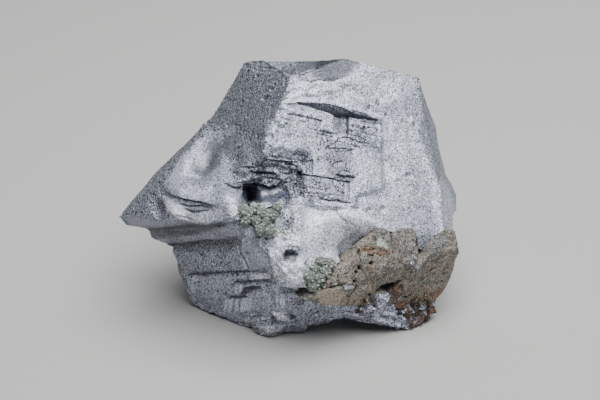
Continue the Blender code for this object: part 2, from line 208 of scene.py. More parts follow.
class Value:
    """A shader socket that adds, subtracts and multiplies as numbers do."""

    def __init__(self, graph, socket):
        self.graph, self.socket = graph, socket

    def _math(self, operation, *values, clamp=False):
        settings = {"operation": operation, "use_clamp": clamp}
        return self.graph.node("Math", settings, dict(enumerate(values)))

    def __add__(self, other):
        return self._math("ADD", self, other)

    __radd__ = __add__

    def __sub__(self, other):
        return self._math("SUBTRACT", self, other)

    def __rsub__(self, other):
        return self._math("SUBTRACT", other, self)

    def __mul__(self, other):
        return self._math("MULTIPLY", self, other)

    __rmul__ = __mul__

    def also(self, output):
        """Another output of the same node."""
        return Value(self.graph, self.socket.node.outputs[output])

    def clamped(self):
        """The value kept between 0 and 1."""
        return self._math("ADD", self, 0.0, clamp=True)

    def highest(self, other):
        """The larger of two values."""
        return self._math("MAXIMUM", self, other)

    def rise(self, low, high):
        """A smooth climb from 0 at low to 1 at high; falls where high is under low."""
        settings = {"interpolation_type": "SMOOTHSTEP", "clamp": True}
        ends = {"Value": self, "From Min": low, "From Max": high}
        if high < low:
            ends = {"Value": self, "From Min": high, "From Max": low, "To Min": 1.0, "To Max": 0.0}
        return self.graph.node("MapRange", settings, ends)


class Graph:
    """A new material and the one method that adds nodes to it."""

    def __init__(self, name):
        self.material = bpy.data.materials.new(name)
        self.material.use_nodes = True
        self.tree = self.material.node_tree
        self.tree.nodes.clear()

    def node(self, kind, settings=None, inputs=None, output=0):
        """Adds a node: its type, its settings, then its sockets' values or links."""
        node = self.tree.nodes.new(f"ShaderNode{kind}")
        for name, setting in (settings or {}).items():
            setattr(node, name, setting)
        for name, value in (inputs or {}).items():
            if isinstance(value, Value):
                self.tree.links.new(value.socket, node.inputs[name])
            else:
                node.inputs[name].default_value = value
        return Value(self, node.outputs[output]) if len(node.outputs) else None

    def place(self):
        """The object's own coordinates in millimetres."""
        spot = self.node("TexCoord", output="Object")
        return self.node("VectorMath", {"operation": "SCALE"}, {"Vector": spot, "Scale": 1 / MM})

    def along(self, axes, place, scale):
        """Coordinates across, down and out of a face, each multiplied by a scale."""
        parts = [self.node("VectorMath", {"operation": "DOT_PRODUCT"},
                           {0: place, 1: [part * stretch for part in direction]}, "Value")
                 for direction, stretch in zip((axes.across, axes.down, axes.out), scale)]
        return self.node("CombineXYZ", None, dict(zip("XYZ", parts)))

    def attribute(self, name):
        """A number painted on the mesh."""
        return self.node("Attribute", {"attribute_name": name}, output="Fac")

    def noise(self, spot, size, detail=2.0, rough=0.5):
        """Cloudy noise from 0 to 1, with lumps of a size in mm."""
        return self.node("TexNoise", {"noise_dimensions": "3D"},
                         {"Vector": spot, "Scale": 1 / size, "Detail": detail, "Roughness": rough})

    def pits(self, spot, spacing, radius, share):
        """1 inside scattered spots: their spacing in mm, radius in spacings, and share of cells."""
        cells = self.node("TexVoronoi", {"feature": "F1"}, {"Vector": spot, "Scale": 1 / spacing},
                          "Distance")
        chance = self.node("SeparateColor", None, {"Color": cells.also("Color")})
        reach = (share - chance).rise(0.0, PIT_FADE) * radius
        return (reach - cells).rise(0.0, radius * PIT_RIM)

    def mix(self, factor, first, second):
        """Blends two colours."""
        first, second = (end if isinstance(end, Value) else (*end, 1) for end in (first, second))
        return self.node("Mix", {"data_type": "RGBA"}, {0: factor, MIX_FIRST: first, MIX_SECOND: second},
                         MIX_RESULT)

    def shade(self, colour, factor):
        """A colour made darker or brighter by a factor."""
        return self.node("VectorMath", {"operation": "SCALE"}, {"Vector": colour, "Scale": factor})

    def bump(self, height, distance, normal=None, strength=1.0):
        """Relief of a depth in mm for a height from 0 to 1."""
        inputs = {"Height": height, "Distance": distance * MM, "Strength": strength}
        if normal is not None:
            inputs["Normal"] = normal
        return self.node("Bump", None, inputs)

    def finish(self, inputs):
        """Ends the material in a Principled shader."""
        self.node("OutputMaterial", None, {"Surface": self.node("BsdfPrincipled", None, inputs)})
        return self.material


# ---------------------------------------------------------------- fields over a surface
MIXERS = (374761393, 668265263, 2246822519, 3266489917)     # large odd factors that scramble coordinates
LAST_MIXER = 2654435761
CELL_SHAPE = (1.8, 1.0, 1.3)                # a broken cell's length across, down and out


def scramble(*whole):
    """A repeatable random number from 0 to 1 for whole-number coordinates."""
    mixed = np.zeros(whole[0].shape, np.uint32)
    for number, factor in zip(whole, MIXERS):
        mixed = (mixed ^ (np.asarray(number).astype(np.int64) & 0xFFFFFFFF).astype(np.uint32))
        mixed = mixed * np.uint32(factor)
        mixed ^= mixed >> np.uint32(15)
    mixed = mixed * np.uint32(LAST_MIXER)
    mixed ^= mixed >> np.uint32(13)
    return (mixed & 0xFFFFFF) / float(0xFFFFFF)


def clouds(spots, size, seed):
    """Smooth noise from -1 to 1 with lumps of a size in mm."""
    scaled = spots / size
    cell = np.floor(scaled)
    part = smoothed(scaled - cell)
    total = np.zeros(len(spots))
    for step in product((0, 1), repeat=3):
        value = scramble(*(cell + step).astype(np.int64).T, np.full(len(spots), seed))
        total += value * np.where(step, part, 1 - part).prod(axis=1)
    return total * 2 - 1


def rough(spots, layers):
    """Smooth noise summed from layers: size in mm, seed and height."""
    return sum(clouds(spots, size, seed) * height for size, seed, height in layers)


def cell_levels(spots, size, seed):
    """Random numbers from 0 to 1 in cells of a size in mm that line up with the crystal's cube."""
    cells = np.floor(CUBE.spread(spots) / CELL_SHAPE / size).astype(np.int64)
    return scramble(*cells.T, np.full(len(spots), seed))


def smoothed(part):
    """A straight climb from 0 to 1 made to start and end level."""
    return part * part * (3 - 2 * part)


def ease(value, low, high):
    """A smooth climb from 0 at low to 1 at high."""
    return smoothed(np.clip((value - low) / (high - low), 0, 1))


def outline_distance(spots, outline):
    """Distance of flat spots from an outline, negative inside."""
    nearest = np.full(len(spots), np.inf)
    inside = np.zeros(len(spots), bool)
    corners = np.array(outline, float)
    for start, end in zip(corners, np.roll(corners, -1, axis=0)):
        edge = end - start
        reach = spots - start
        along = np.clip(reach @ edge / (edge @ edge), 0, 1)
        gap = reach - along[:, None] * edge
        nearest = np.minimum(nearest, np.hypot(gap[:, 0], gap[:, 1]))
        spans = (start[1] > spots[:, 1]) != (end[1] > spots[:, 1])
        rise = edge[1] if edge[1] else 1e-9
        inside ^= spans & (spots[:, 0] < start[0] + (spots[:, 1] - start[1]) * edge[0] / rise)
    return np.where(inside, -nearest, nearest)


# ---------------------------------------------------------------- a surface being sculpted
MELT_SHARE = 0.6        # how far a round of melting moves a vertex to its neighbours' mean
MEET_WHOLLY = 0.4       # share of the reach within which the skin is drawn all the way


def sum_neighbours(edges, values):
    """For each vertex, the sum of its neighbours' values."""
    first, second = edges.T
    return np.stack([np.bincount(first, values[second, axis], len(values))
                     + np.bincount(second, values[first, axis], len(values))
                     for axis in range(values.shape[1])], axis=1)


class Skin:
    """The vertices of a mesh in mm, with the moves that shape them."""

    def __init__(self, mesh):
        self.mesh = mesh
        count = len(mesh.vertices)
        flat = np.empty(count * 3, np.float32)
        mesh.vertices.foreach_get("co", flat)
        self.spots = flat.reshape(-1, 3).astype(float) / MM + FRAME_SHIFT
        edges = np.empty(len(mesh.edges) * 2, np.int32)
        mesh.edges.foreach_get("vertices", edges)
        self.edges = edges.reshape(-1, 2)
        self.valence = np.bincount(edges, minlength=count).astype(float)

    def normals(self):
        """The surface's directions out, as the vertices now lie."""
        self.write()
        count = len(self.mesh.vertices)
        flat = np.empty(count * 3, np.float32)
        self.mesh.vertex_normals.foreach_get("vector", flat)
        return flat.reshape(-1, 3).astype(float)

    def neighbours(self, values):
        """The mean of each vertex's neighbours."""
        return sum_neighbours(self.edges, values) / self.valence[:, None]

    def melt(self, weights, rounds):
        """Softens the surface where the weights are high."""
        weights = weights[:, None] * MELT_SHARE
        for _ in range(rounds):
            self.spots += (self.neighbours(self.spots) - self.spots) * weights

    def film(self, chosen, rounds):
        """Draws the chosen vertices tight between the others, like a soap film."""
        near = self.edges[chosen[self.edges].any(axis=1)]
        used, packed = np.unique(near, return_inverse=True)
        edges = packed.reshape(-1, 2)
        spots, held = self.spots[used], chosen[used][:, None]
        valence = np.maximum(np.bincount(edges.ravel(), minlength=len(used)), 1)[:, None]
        for _ in range(rounds):
            spots = np.where(held, sum_neighbours(edges, spots) / valence, spots)
        self.spots[used] = spots

    def meet(self, nodes, reach, gap):
        """Draws the skin up to within a gap in mm of the CAD nodes set in it, where they are in reach."""
        points = (self.spots - FRAME_SHIFT) * MM
        for node in nodes:
            tree = BVHTree.FromObject(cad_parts[node], bpy.context.evaluated_depsgraph_get())
            low, high = (np.array(corner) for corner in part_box(node))
            close = np.all((points > low - reach * MM) & (points < high + reach * MM), axis=1)
            for index in np.flatnonzero(close):
                nearest, _, _, distance = tree.find_nearest(Vector(points[index]), reach * MM)
                if nearest is None or distance < gap * MM:
                    continue
                share = 1 - ease(distance / MM, reach * MEET_WHOLLY, reach)
                points[index] += (np.array(nearest) - points[index]) * share * (1 - gap * MM / distance)
        self.spots = points / MM + FRAME_SHIFT

    def move(self, direction, amount):
        """Moves the vertices along one direction, or along their own."""
        self.spots += np.asarray(direction) * np.asarray(amount)[:, None]

    def keep_inside(self):
        """Holds the vertices inside the CAD model's box."""
        low, high = (np.array(corner) / MM + FRAME_SHIFT for corner in CAD_BOX)
        self.spots = np.clip(self.spots, low + BOX_MARGIN, high - BOX_MARGIN)

    def near_front(self, slack, cell):
        """Which vertices lie within a slack in mm behind the front, judged in cells of some pixels."""
        places, depth = picture_spots(self.spots)
        grid = np.clip(np.floor(places / cell).astype(int), 0, PICTURE[0])
        key = grid[:, 0] * PICTURE[0] + grid[:, 1]
        front = np.full((PICTURE[0] + 1) * PICTURE[0], np.inf)
        np.minimum.at(front, key, depth)
        return depth < front[key] + slack

    def seen(self):
        """Which vertices show in the show view."""
        return self.near_front(SEEN_DEPTH, SEEN_CELL) & (self.normals() @ TOWARD > SEEN_FACING)

    def write(self):
        """Puts the vertices back in the mesh."""
        flat = ((self.spots - FRAME_SHIFT) * MM).astype(np.float32).ravel()
        self.mesh.vertices.foreach_set("co", flat)
        self.mesh.update()


def paint(mesh, name, values):
    """Stores a number for each vertex, for the material to read."""
    layer = mesh.attributes.new(name, "FLOAT", "POINT")
    layer.data.foreach_set("value", np.asarray(values, np.float32))


def merge_close(mesh, distance):
    """Joins vertices that lie within a distance in mm."""
    builder = bmesh.new()
    builder.from_mesh(mesh)
    bmesh.ops.remove_doubles(builder, verts=builder.verts, dist=distance * MM)
    builder.to_mesh(mesh)
    builder.free()


def link(name, data):
    """A new object in the scene."""
    piece = bpy.data.objects.new(name, data)
    bpy.context.scene.collection.objects.link(piece)
    return piece


def apply_modifiers(piece):
    """Turns a piece's modifiers into its mesh."""
    graph = bpy.context.evaluated_depsgraph_get()
    mesh = bpy.data.meshes.new_from_object(piece.evaluated_get(graph))
    piece.modifiers.clear()
    old = piece.data
    piece.data = mesh
    bpy.data.meshes.remove(old)


def fine_copy(name, node, mode, **settings):
    """A new object with a CAD node's shape as an even, fine mesh."""
    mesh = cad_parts[node].data.copy()
    mesh.materials.clear()
    merge_close(mesh, DOUBLED)
    for attribute in [layer.name for layer in mesh.attributes if not layer.is_required]:
        layer = mesh.attributes.get(attribute)
        if layer is not None and not attribute.startswith("."):
            mesh.attributes.remove(layer)
    piece = link(name, mesh)
    remesh = piece.modifiers.new("fine", "REMESH")
    remesh.mode = mode
    for setting, value in settings.items():
        setattr(remesh, setting, value)
    apply_modifiers(piece)
    return piece


def settle(piece, slot, material, *nodes):
    """Gives a piece its material and its body, and hides the CAD nodes that it stands for. The slot is not
    used.
    """
    piece.data.materials.clear()
    piece.data.materials.append(material)
    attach(piece, "root")
    if nodes:
        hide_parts(*nodes)


# ---------------------------------------------------------------- galena
# Everything below that shows from the front is laid out in picture pixels, seen from EYE.
SEEN_DEPTH, SEEN_CELL = 3.5, 2.0        # mm behind the front that still counts as seen, cells in pixels
SEEN_FACING = 0.02                      # how far a surface has to face the eye to be seen
FILM_DEPTH, FILM_CELL = 12, 3.0         # the same for the stretches drawn over as a smooth skin
FILM_ROUNDS = 800
SET_IN = ("siderite_matrix", "green_crust_left", "green_crust_right")
STEP_FACE = (0.71, 0.140, -0.049)       # the big right face's level along CUBE: at 0, per across, per down
LOWER_FACE = (-0.05, 0.0, -0.005)       # the lower left face's level along LOWER, likewise
# The stepped areas of the two faces.
STEP_AREA = [(288, 101), (320, 99), (350, 106), (382, 116), (384, 190), (358, 196), (356, 208), (322, 208),
    (305, 202), (303, 176), (298, 158), (290, 150), (286, 118)]
LOWER_AREA = [(180, 264), (270, 262), (272, 306), (184, 306)]
# The part that is meshed twice as fine, and the steps whose fine mesh is all kept.
FINE_AREA = [(206, 118), (244, 60), (352, 54), (352, 96), (388, 114), (388, 156), (362, 160), (362, 230),
    (304, 236), (304, 300), (296, 326), (240, 326), (184, 300), (165, 240), (150, 215), (156, 176),
    (196, 136)]
FINE_STEPS = [(224, 269), (270, 268), (288, 286), (288, 324), (268, 324), (222, 313)]
# Stretches that are drawn over as a smooth skin before they are carved afresh.
SKINS = [
    [(262, 158), (292, 150), (303, 156), (305, 178), (303, 198), (291, 202), (283, 199), (262, 191),
        (243, 188), (230, 186), (229, 178), (246, 168)],
    [(158, 182), (170, 194), (190, 196), (215, 203), (228, 211), (228, 220), (200, 224), (174, 220),
        (160, 204), (156, 192)],
    [(284, 198), (296, 202), (296, 232), (284, 240), (273, 240), (277, 224), (282, 212)],
    [(233, 206), (241, 216), (244, 226), (252, 229), (262, 241), (254, 247), (238, 238), (230, 222)],
    [(322, 226), (345, 214), (372, 222), (380, 228), (374, 234), (364, 240), (354, 250), (342, 258),
        (326, 250)],
    [(444, 188), (452, 188), (459, 214), (461, 232), (446, 232), (442, 205)],
    [(374, 152), (392, 150), (395, 196), (384, 202), (358, 208), (354, 200), (362, 194), (374, 186)],
    [(276, 284), (306, 286), (306, 306), (276, 306)],
]
# Recessed floors in the big right face: depth in mm at the top and the foot, softness of the rim in mm,
# then the outline.
STEP_FLOORS = [
    (0.35, 0.0, 1.6, [(350, 114), (379, 120), (379, 149), (365, 152), (350, 152)]),
    (0.3, 0.3, 0.16, [(289, 103), (330, 105), (336, 110), (336, 178), (330, 200), (323, 198), (304, 198),
        (303, 176), (300, 172), (291, 152), (288, 114)]),
    (0.45, 0.35, 0.16, [(290, 113.5), (306, 115.5), (322, 119), (321, 129), (337, 132.5), (334, 150),
        (331, 165), (333, 178), (303, 173), (314, 157), (303, 150), (291, 150)]),
    (0.0, 1.7, 0.12, [(297, 102), (316, 103), (334, 104.5), (343, 107.5), (351, 111.5), (361, 114.5),
        (378, 119), (378, 120), (358, 117.5), (350, 116), (342, 115.6), (336, 114.4), (327.5, 111),
        (317.5, 108), (311, 105.5), (300, 103.5)]),
    (0.9, 0.3, 0.2, [(335.6, 114.4), (342, 115.6), (349, 116), (349, 134), (341, 137), (335.6, 140)]),
    (0.25, 0.25, 0.3, [(333, 151), (351, 150), (350, 182), (334, 178), (331, 166)]),
    (0.5, 0.7, 0.4, [(294, 153), (299, 151), (305, 152), (314, 156.5), (309, 159.5), (304, 160),
        (299, 157.6)]),
    (1.1, 0.6, 0.2, [(299, 158), (309, 159.8), (314, 158), (314, 174), (301, 171)]),
    (2.2, 2.2, 0.2, [(298.5, 169.5), (303.5, 170), (304.5, 175), (300, 174)]),
    (0.2, 0.0, 0.16, [(304, 174), (320, 176.5), (334, 178.5), (350, 182), (349, 202), (335, 200),
        (323, 199), (304, 198)]),
]
# Cleavage edges that drop sharply and climb back: length of the climb in pixels and how dark the painted
# shade along the edge is, then the line, each point with its drop in mm.
STEP_EDGES = [
    (3, 0.9, [(288, 112, 0.08), (298, 113.8, 0.14), (307, 115.2, 0.14), (322, 119, 0.14)]),
    (3, 0.9, [(319, 129, 0.14), (328, 130.8, 0.16), (338, 132.8, 0.08)]),
    (3, 0.8, [(320, 132, 0.1), (326, 134, 0.14), (333, 135.2, 0.1)]),
    (3, 0.9, [(363, 119.8, 0.14), (372, 121.6, 0.16), (381, 122.2, 0.14)]),
    (3, 0.6, [(368, 118.6, 0.1), (379, 120.6, 0.1)]),
    (4, 1.0, [(340, 136.8, 0.2), (347.5, 136, 0.2), (355, 138, 0.14)]),
    (4, 1.0, [(331, 145.8, 0.3), (337.5, 147, 0.3), (345, 148, 0.3), (353, 148.6, 0.2)]),
    (3, 0.7, [(331.5, 143.4, 0.14), (335, 142, 0.14), (340.6, 137, 0.1)]),
    (3, 0.8, [(333, 163, 0.14), (337.5, 161.4, 0.14), (342, 160, 0.1)]),
    (3, 0.6, [(345, 169.5, 0.12), (349, 170.5, 0.12)]), (3, 0.6, [(348, 128, 0.12), (353, 130, 0.1)]),
    (3, 0.7, [(352, 133, 0.1), (358, 135, 0.14), (366, 139, 0.1)]),
    (3, 0.7, [(354, 139, 0.1), (362, 141.5, 0.14), (370, 142.5, 0.1)]),
    (3, 0.7, [(364, 130, 0.1), (371, 133, 0.12), (377, 134.5, 0.1)]),
    (3, 0.6, [(367, 144.5, 0.1), (378, 146.5, 0.12)]), (3, 0.5, [(352, 144, 0.1), (358, 146, 0.1)]),
    (3, 0.5, [(351, 124, 0.08), (362, 127, 0.1), (372, 127, 0.08)]),
    (3, 0.35, [(305, 186, 0.06), (318, 188, 0.08), (330, 189, 0.04)]),
    (3, 0.45, [(304, 191, 0.08), (322, 193.4, 0.1), (345, 195, 0.06)]),
    (3, 0.4, [(309, 195, 0.06), (324, 196, 0.08)]),
    (5, 0.9, [(322, 197.4, 0.14), (330, 199.4, 0.3), (336, 199, 0.3), (342.5, 200.6, 0.3),
        (350, 202, 0.14)]),
    (3, 0.5, [(307, 199, 0.08), (316, 202, 0.1), (322, 203, 0.06)]),
    (5, 0.7, [(337.5, 205, 0.1), (338.5, 212, 0.2), (343, 218, 0.26), (354, 223.5, 0.14)]),
    (3, 0.5, [(347, 204, 0.1), (352, 206, 0.1), (358, 207, 0.06)]),
]
# Narrow slots and upright cracks: width in pixels and the darkness of the painted shade in them, then the
# line, each point with its depth in mm.
STEP_SLOTS = [
    (1.0, 1.0, [(300, 172, 0.9), (312.5, 174.5, 0.5), (322.5, 176.4, 0.45), (335, 178.3, 0.4),
        (340, 180, 0.25), (350, 181.8, 0.3)]),
    (0.9, 0.5, [(374.4, 123, 0.12), (377, 130.8, 0.2), (377, 137, 0.16), (379, 144, 0.12)]),
    (1.0, 0.7, [(352, 148.6, 0.25), (350.8, 152.6, 0.3), (353.6, 154.6, 0.15)]),
    (0.9, 0.35, [(322, 119, 0.12), (320.5, 124, 0.12), (320, 128.6, 0.12)]),
    (1.0, 0.7, [(303, 175, 0.2), (303.5, 186, 0.2), (304, 196, 0.2)]),
    (1.0, 0.35, [(349.6, 183, 0.12), (349, 201, 0.12)]), (0.9, 0.35, [(345, 184, 0.1), (344.6, 199, 0.1)]),
    (0.9, 0.5, [(341, 172, 0.14), (336, 177.5, 0.14)]), (0.9, 0.3, [(333, 151, 0.1), (332, 165, 0.1)]),
    (0.9, 0.4, [(349, 117, 0.12), (349, 136, 0.12)]), (0.9, 0.35, [(335.6, 116, 0.12), (335.6, 131, 0.12)]),
]
# The same in the lower left face, where a negative darkness makes a ridge with a painted highlight.
LOWER_EDGES = [
    (4, 1.0, [(188.6, 275.4, 0.35), (200.7, 274.3, 0.4), (222, 272.9, 0.3), (242, 271.4, 0.25),
        (264, 271, 0.3)]),
    (3, 0.8, [(234, 279, 0.2), (247, 278.6, 0.2)]), (3.5, 1.0, [(234, 282.9, 0.4), (249, 282, 0.4)]),
    (3, 1.0, [(256, 282, 0.3), (268.4, 280.8, 0.3)]), (3.5, 1.0, [(241, 292.6, 0.4), (249.6, 291.4, 0.4)]),
    (3, 1.0, [(250, 289, 0.3), (259, 288.6, 0.3)]), (3, 0.9, [(246, 287, 0.2), (252, 286, 0.2)]),
    (3.5, 0.9, [(229.6, 297, 0.35), (238.6, 298, 0.35), (244.6, 296.6, 0.3)]),
    (3, 0.5, [(277, 293, 0.14), (286, 295.4, 0.14)]), (3, 0.4, [(278, 298, 0.12), (284, 300, 0.12)]),
    (3, 0.6, [(262, 273, 0.14), (268, 274.6, 0.14)]),
]
LOWER_SLOTS = [
    (1.2, -0.9, [(188.6, 277, 0.2), (187.5, 293, 0.2)]), (1.0, -0.6, [(192, 277, 0.12), (191, 292, 0.12)]),
    (1.0, -0.7, [(196.6, 277, 0.12), (195, 291, 0.1)]), (1.0, 0.5, [(190.2, 277, 0.15), (189, 293, 0.15)]),
    (1.2, -0.8, [(234.6, 280, 0.2), (234, 289, 0.2)]), (1.0, -0.6, [(240, 284, 0.15), (239, 290, 0.15)]),
    (1.2, -0.8, [(225.6, 299, 0.2), (225.4, 311, 0.2)]),
    (1.2, -1.0, [(230.4, 299, 0.25), (230, 312, 0.25)]), (1.0, -0.8, [(236.4, 299, 0.2), (236, 312, 0.2)]),
    (1.2, -0.9, [(242.4, 298, 0.2), (242, 311, 0.2)]), (1.0, -0.5, [(247.6, 298, 0.15), (247, 310, 0.15)]),
    (1.0, 0.6, [(233.4, 299, 0.25), (233, 311, 0.25)]), (1.0, 0.5, [(239.4, 299, 0.25), (239, 311, 0.25)]),
    (1.0, 0.5, [(228, 299, 0.2), (227.6, 311, 0.2)]), (1.2, -1.0, [(276.4, 290, 0.25), (276.6, 312, 0.2)]),
    (1.0, -0.8, [(280, 294, 0.2), (280.4, 311, 0.2)]), (1.0, -0.7, [(283.6, 294, 0.15), (284.4, 309, 0.1)]),
    (1.0, 0.5, [(278.2, 292, 0.2), (278.4, 311, 0.2)]),
    (1.2, -0.8, [(235.6, 242, 0.15), (237.4, 252, 0.2), (243.4, 261, 0.25), (246, 268, 0.2)]),
    (1.0, -0.6, [(243, 240, 0.15), (242, 250, 0.2), (247, 259, 0.2), (250, 266, 0.15)]),
    (1.0, 0.5, [(239, 242, 0.15), (239.6, 252, 0.2), (245.4, 261, 0.25), (248, 268, 0.2)]),
]
# Overhanging lips that drop away from the eye, likewise.
LIP_EDGES = [
    # the long lip of the wing, the thin plates in its shadow and the cracks below them
    (10, 0.55, [(161, 182, 0.25), (165.6, 190.6, 0.4), (174, 195.4, 0.45), (184, 198.4, 0.55),
        (196, 200.4, 0.6), (207, 202.4, 0.5), (213, 205, 0.2)]),
    (3, 0.8, [(181, 203.4, 0.2), (190, 205.6, 0.35), (200, 204.4, 0.35), (209, 205.6, 0.2)]),
    (3, 0.9, [(186, 208.6, 0.15), (192, 210.8, 0.35), (199, 211, 0.4), (206, 209.6, 0.2)]),
    (3, 0.7, [(178, 214.6, 0.15), (185, 216.2, 0.2), (192, 218.6, 0.15)]),
    # the wing's under side
    (7, 0.2, [(146, 229.6, 0.3), (165, 229, 0.4), (200, 227.4, 0.4), (222, 224, 0.3), (240, 220.6, 0.1)]),
    (6, 0.3, [(212, 234, 0.15), (222, 236.4, 0.3), (236, 237.4, 0.3), (244, 235, 0.15)]),
    (6, 0.2, [(168, 244.6, 0.3), (200, 242, 0.35), (228, 240.6, 0.3)]),
    # the ledges above the left crust, from the top down
    (5, 0.65, [(266, 158.6, 0.3), (276, 160.2, 0.6), (285, 161, 0.6), (297, 160, 0.45)]),
    (3, 0.6, [(268, 156, 0.12), (280, 157, 0.16), (292, 157.4, 0.12)]),
    (3, 0.6, [(265, 163.4, 0.12), (277, 165.4, 0.2), (286, 167.6, 0.12)]),
    (3, 0.5, [(268, 166.6, 0.1), (280, 168.4, 0.12)]),
    (5, 1.0, [(286, 163.6, 0.3), (291, 162.6, 0.6), (296, 163.4, 0.3)]),
    (4, 0.5, [(243, 166, 0.25), (254, 166.6, 0.45), (264, 165.4, 0.3)]),
    (5, 0.6, [(250, 170.6, 0.35), (257, 172, 0.75), (264, 172.2, 0.7), (274, 172.6, 0.45)]),
    (3, 0.35, [(262, 176.4, 0.2), (272, 177.6, 0.3), (280, 180, 0.2)]),
    (8, 0.5, [(225, 182.4, 0.3), (230.6, 187, 0.6), (238, 187.4, 0.9), (247, 184, 1.1), (257, 183.4, 1.1),
        (262, 184, 1.0), (269, 187, 1.0), (276, 185.4, 0.9), (281.4, 180.6, 0.3)]),
    # the bright plate's left side
    (3, 0.6, [(160, 186, 0.1), (160.5, 195, 0.3), (165, 206, 0.3), (172, 214, 0.3), (178, 219, 0.1)]),
    (4, 0.7, [(282, 199.6, 0.1), (276, 203.4, 0.3), (268, 204.4, 0.35), (262, 203.6, 0.2)]),
    # the bright patch right of the lower face
    (4, 0.5, [(284, 253.4, 0.2), (288, 251.6, 0.4), (294, 252.4, 0.4), (299, 255, 0.15)]),
    (3, 0.5, [(287, 245.6, 0.12), (296, 247, 0.16), (300, 250, 0.1)]),
    (6, 0.7, [(277, 286.6, 0.15), (287, 288.6, 0.5), (300, 289.4, 0.6), (305, 288, 0.2)]),
    (3, 0.4, [(276, 230.6, 0.12), (286, 232.6, 0.2), (292, 231.6, 0.15)]),
    (3, 0.4, [(322, 235, 0.12), (325, 240, 0.12)]),
    # the lens-shaped chip under the lower face
    (4, 0.9, [(286, 315.4, 0.2), (291, 317.6, 0.45), (295.4, 318.6, 0.3)]),
    (4, 0.35, [(271, 313, 0.15), (277, 320, 0.25), (288, 324, 0.25), (294, 322, 0.1)]),
    (4, 0.4, [(239, 314, 0.15), (246, 316, 0.2), (257, 317, 0.15)]),
    # the crown's broken edge
    (3, 0.5, [(246, 63, 0.1), (262, 65.6, 0.16), (280, 66, 0.16), (290, 69, 0.1)]),
    (3, 0.5, [(247, 66, 0.1), (260, 69, 0.14), (284, 70.6, 0.14)]),
    (3, 0.15, [(303, 78.6, 0.1), (311, 80.8, 0.15), (318, 79, 0.15), (327, 80, 0.15), (337, 79, 0.1)]),
]
# Soft swellings and dents: middle, half-lengths, turn in degrees, height in mm.
SWELLS = [
    (349, 213, 8, 9, 0, 0.5), (352, 246, 16, 7, -30, -0.4), (385, 160, 8, 20, -35, -0.45),
    (407, 168, 10, 30, -20, 0.35), (330, 225, 22, 16, 0, 0.35), (315, 240, 14, 22, 0, 0.3),
    (366, 190, 12, 26, 5, 0.3), (428, 130, 8, 40, -15, -0.3), (395, 100, 20, 12, 0, 0.3),
    (350, 92, 22, 8, 15, -0.35), (435, 205, 9, 26, -10, -0.35), (310, 215, 9, 9, 0, -0.3),
    (204, 161, 11, 18, 35, -1.1), (188, 162, 12, 14, -30, 0.5), (197, 142, 8, 12, 20, 0.4),
    (226, 198, 12, 11, 0, 0.6), (196, 186, 26, 7, 8, 0.5), (200, 176, 26, 3, 6, -0.3),
    (172, 172, 8, 8, 0, -0.3), (222, 168, 9, 6, -20, 0.3), (283, 148, 17, 6, 8, 0.8),
    (305, 153.6, 8, 3.4, 12, -0.9), (276, 162, 14, 3.4, 5, 0.5), (294, 178, 6.5, 15, 0, -0.8),
    (258, 177, 15, 4, -14, 0.6), (232, 186, 7, 3, 20, 0.3), (352, 222, 16, 10, 30, 0.9),
    (345, 122, 6, 9, 0, -0.3), (267, 195, 9, 8, 0, 1.0), (289, 216, 6, 13, 0, 0.7),
    (291.5, 255.6, 5.5, 4, 10, -0.6), (292, 275, 12, 12, 0, 0.7), (278, 252, 7, 14, -15, 0.6),
    (298, 246, 9, 10, 0, 0.4), (256, 256, 11, 14, -15, 0.6), (282, 318, 11, 4, 20, 0.6),
    (248, 319, 9, 4, 10, 0.5), (176, 214, 10, 4.5, 35, 0.4), (300, 222, 5, 20, 0, 0.5),
    (283, 196, 4, 8, 0, -0.4), (268, 330, 8, 4, 10, 0.6), (212, 312, 9, 3, 25, 0.4),
    (292, 268, 5, 9, -10, 0.4),
]
# Corners drawn out: middle and half-length in pixels, direction, distance in mm.
PULLS = [
    ((208, 126), 8, (-0.55, 0, 0.83), 1.1), ((192, 300), 6, (-0.8, 0, -0.2), 0.4),
    ((176, 252), 7, (-1, 0, 0), 0.5),
]
# Crumbled patches: size and height of the lumps in mm, then the outline.
CRUMBLES = [
    (0.9, 0.24, [(281, 73), (300, 78), (330, 82), (345, 80), (352, 88), (320, 98), (288, 100), (278, 88)]),
    (0.8, 0.36, [(262, 126), (283, 102), (291, 114), (290, 150), (302, 150), (290, 158), (268, 158),
        (258, 150)]),
    (0.7, 0.34, [(226, 182), (245, 170), (262, 160), (300, 160), (285, 178), (281, 186), (262, 187),
        (240, 188)]),
    (0.6, 0.24, [(281, 164), (303, 164), (304, 196), (286, 197)]),
    (0.8, 0.34, [(270, 232), (292, 232), (306, 262), (304, 288), (286, 288), (272, 268)]),
    (0.9, 0.34, [(200, 306), (262, 308), (300, 306), (300, 336), (250, 334), (196, 316)]),
    (0.8, 0.2, [(243, 60), (300, 58), (300, 76), (283, 72), (262, 70), (246, 72)]),
    (0.7, 0.26, [(300, 306), (350, 306), (372, 292), (392, 292), (414, 316), (404, 330), (300, 332)]),
]
# The smooth chip in the crown.
CROWN_CHIP = [(276, 68), (286, 62), (300, 57), (316, 53), (345, 52), (360, 61), (352, 70), (345, 76),
    (337, 79.5), (327, 80.5), (318, 79.5), (310, 81.5), (303, 79), (297, 73), (288, 70)]
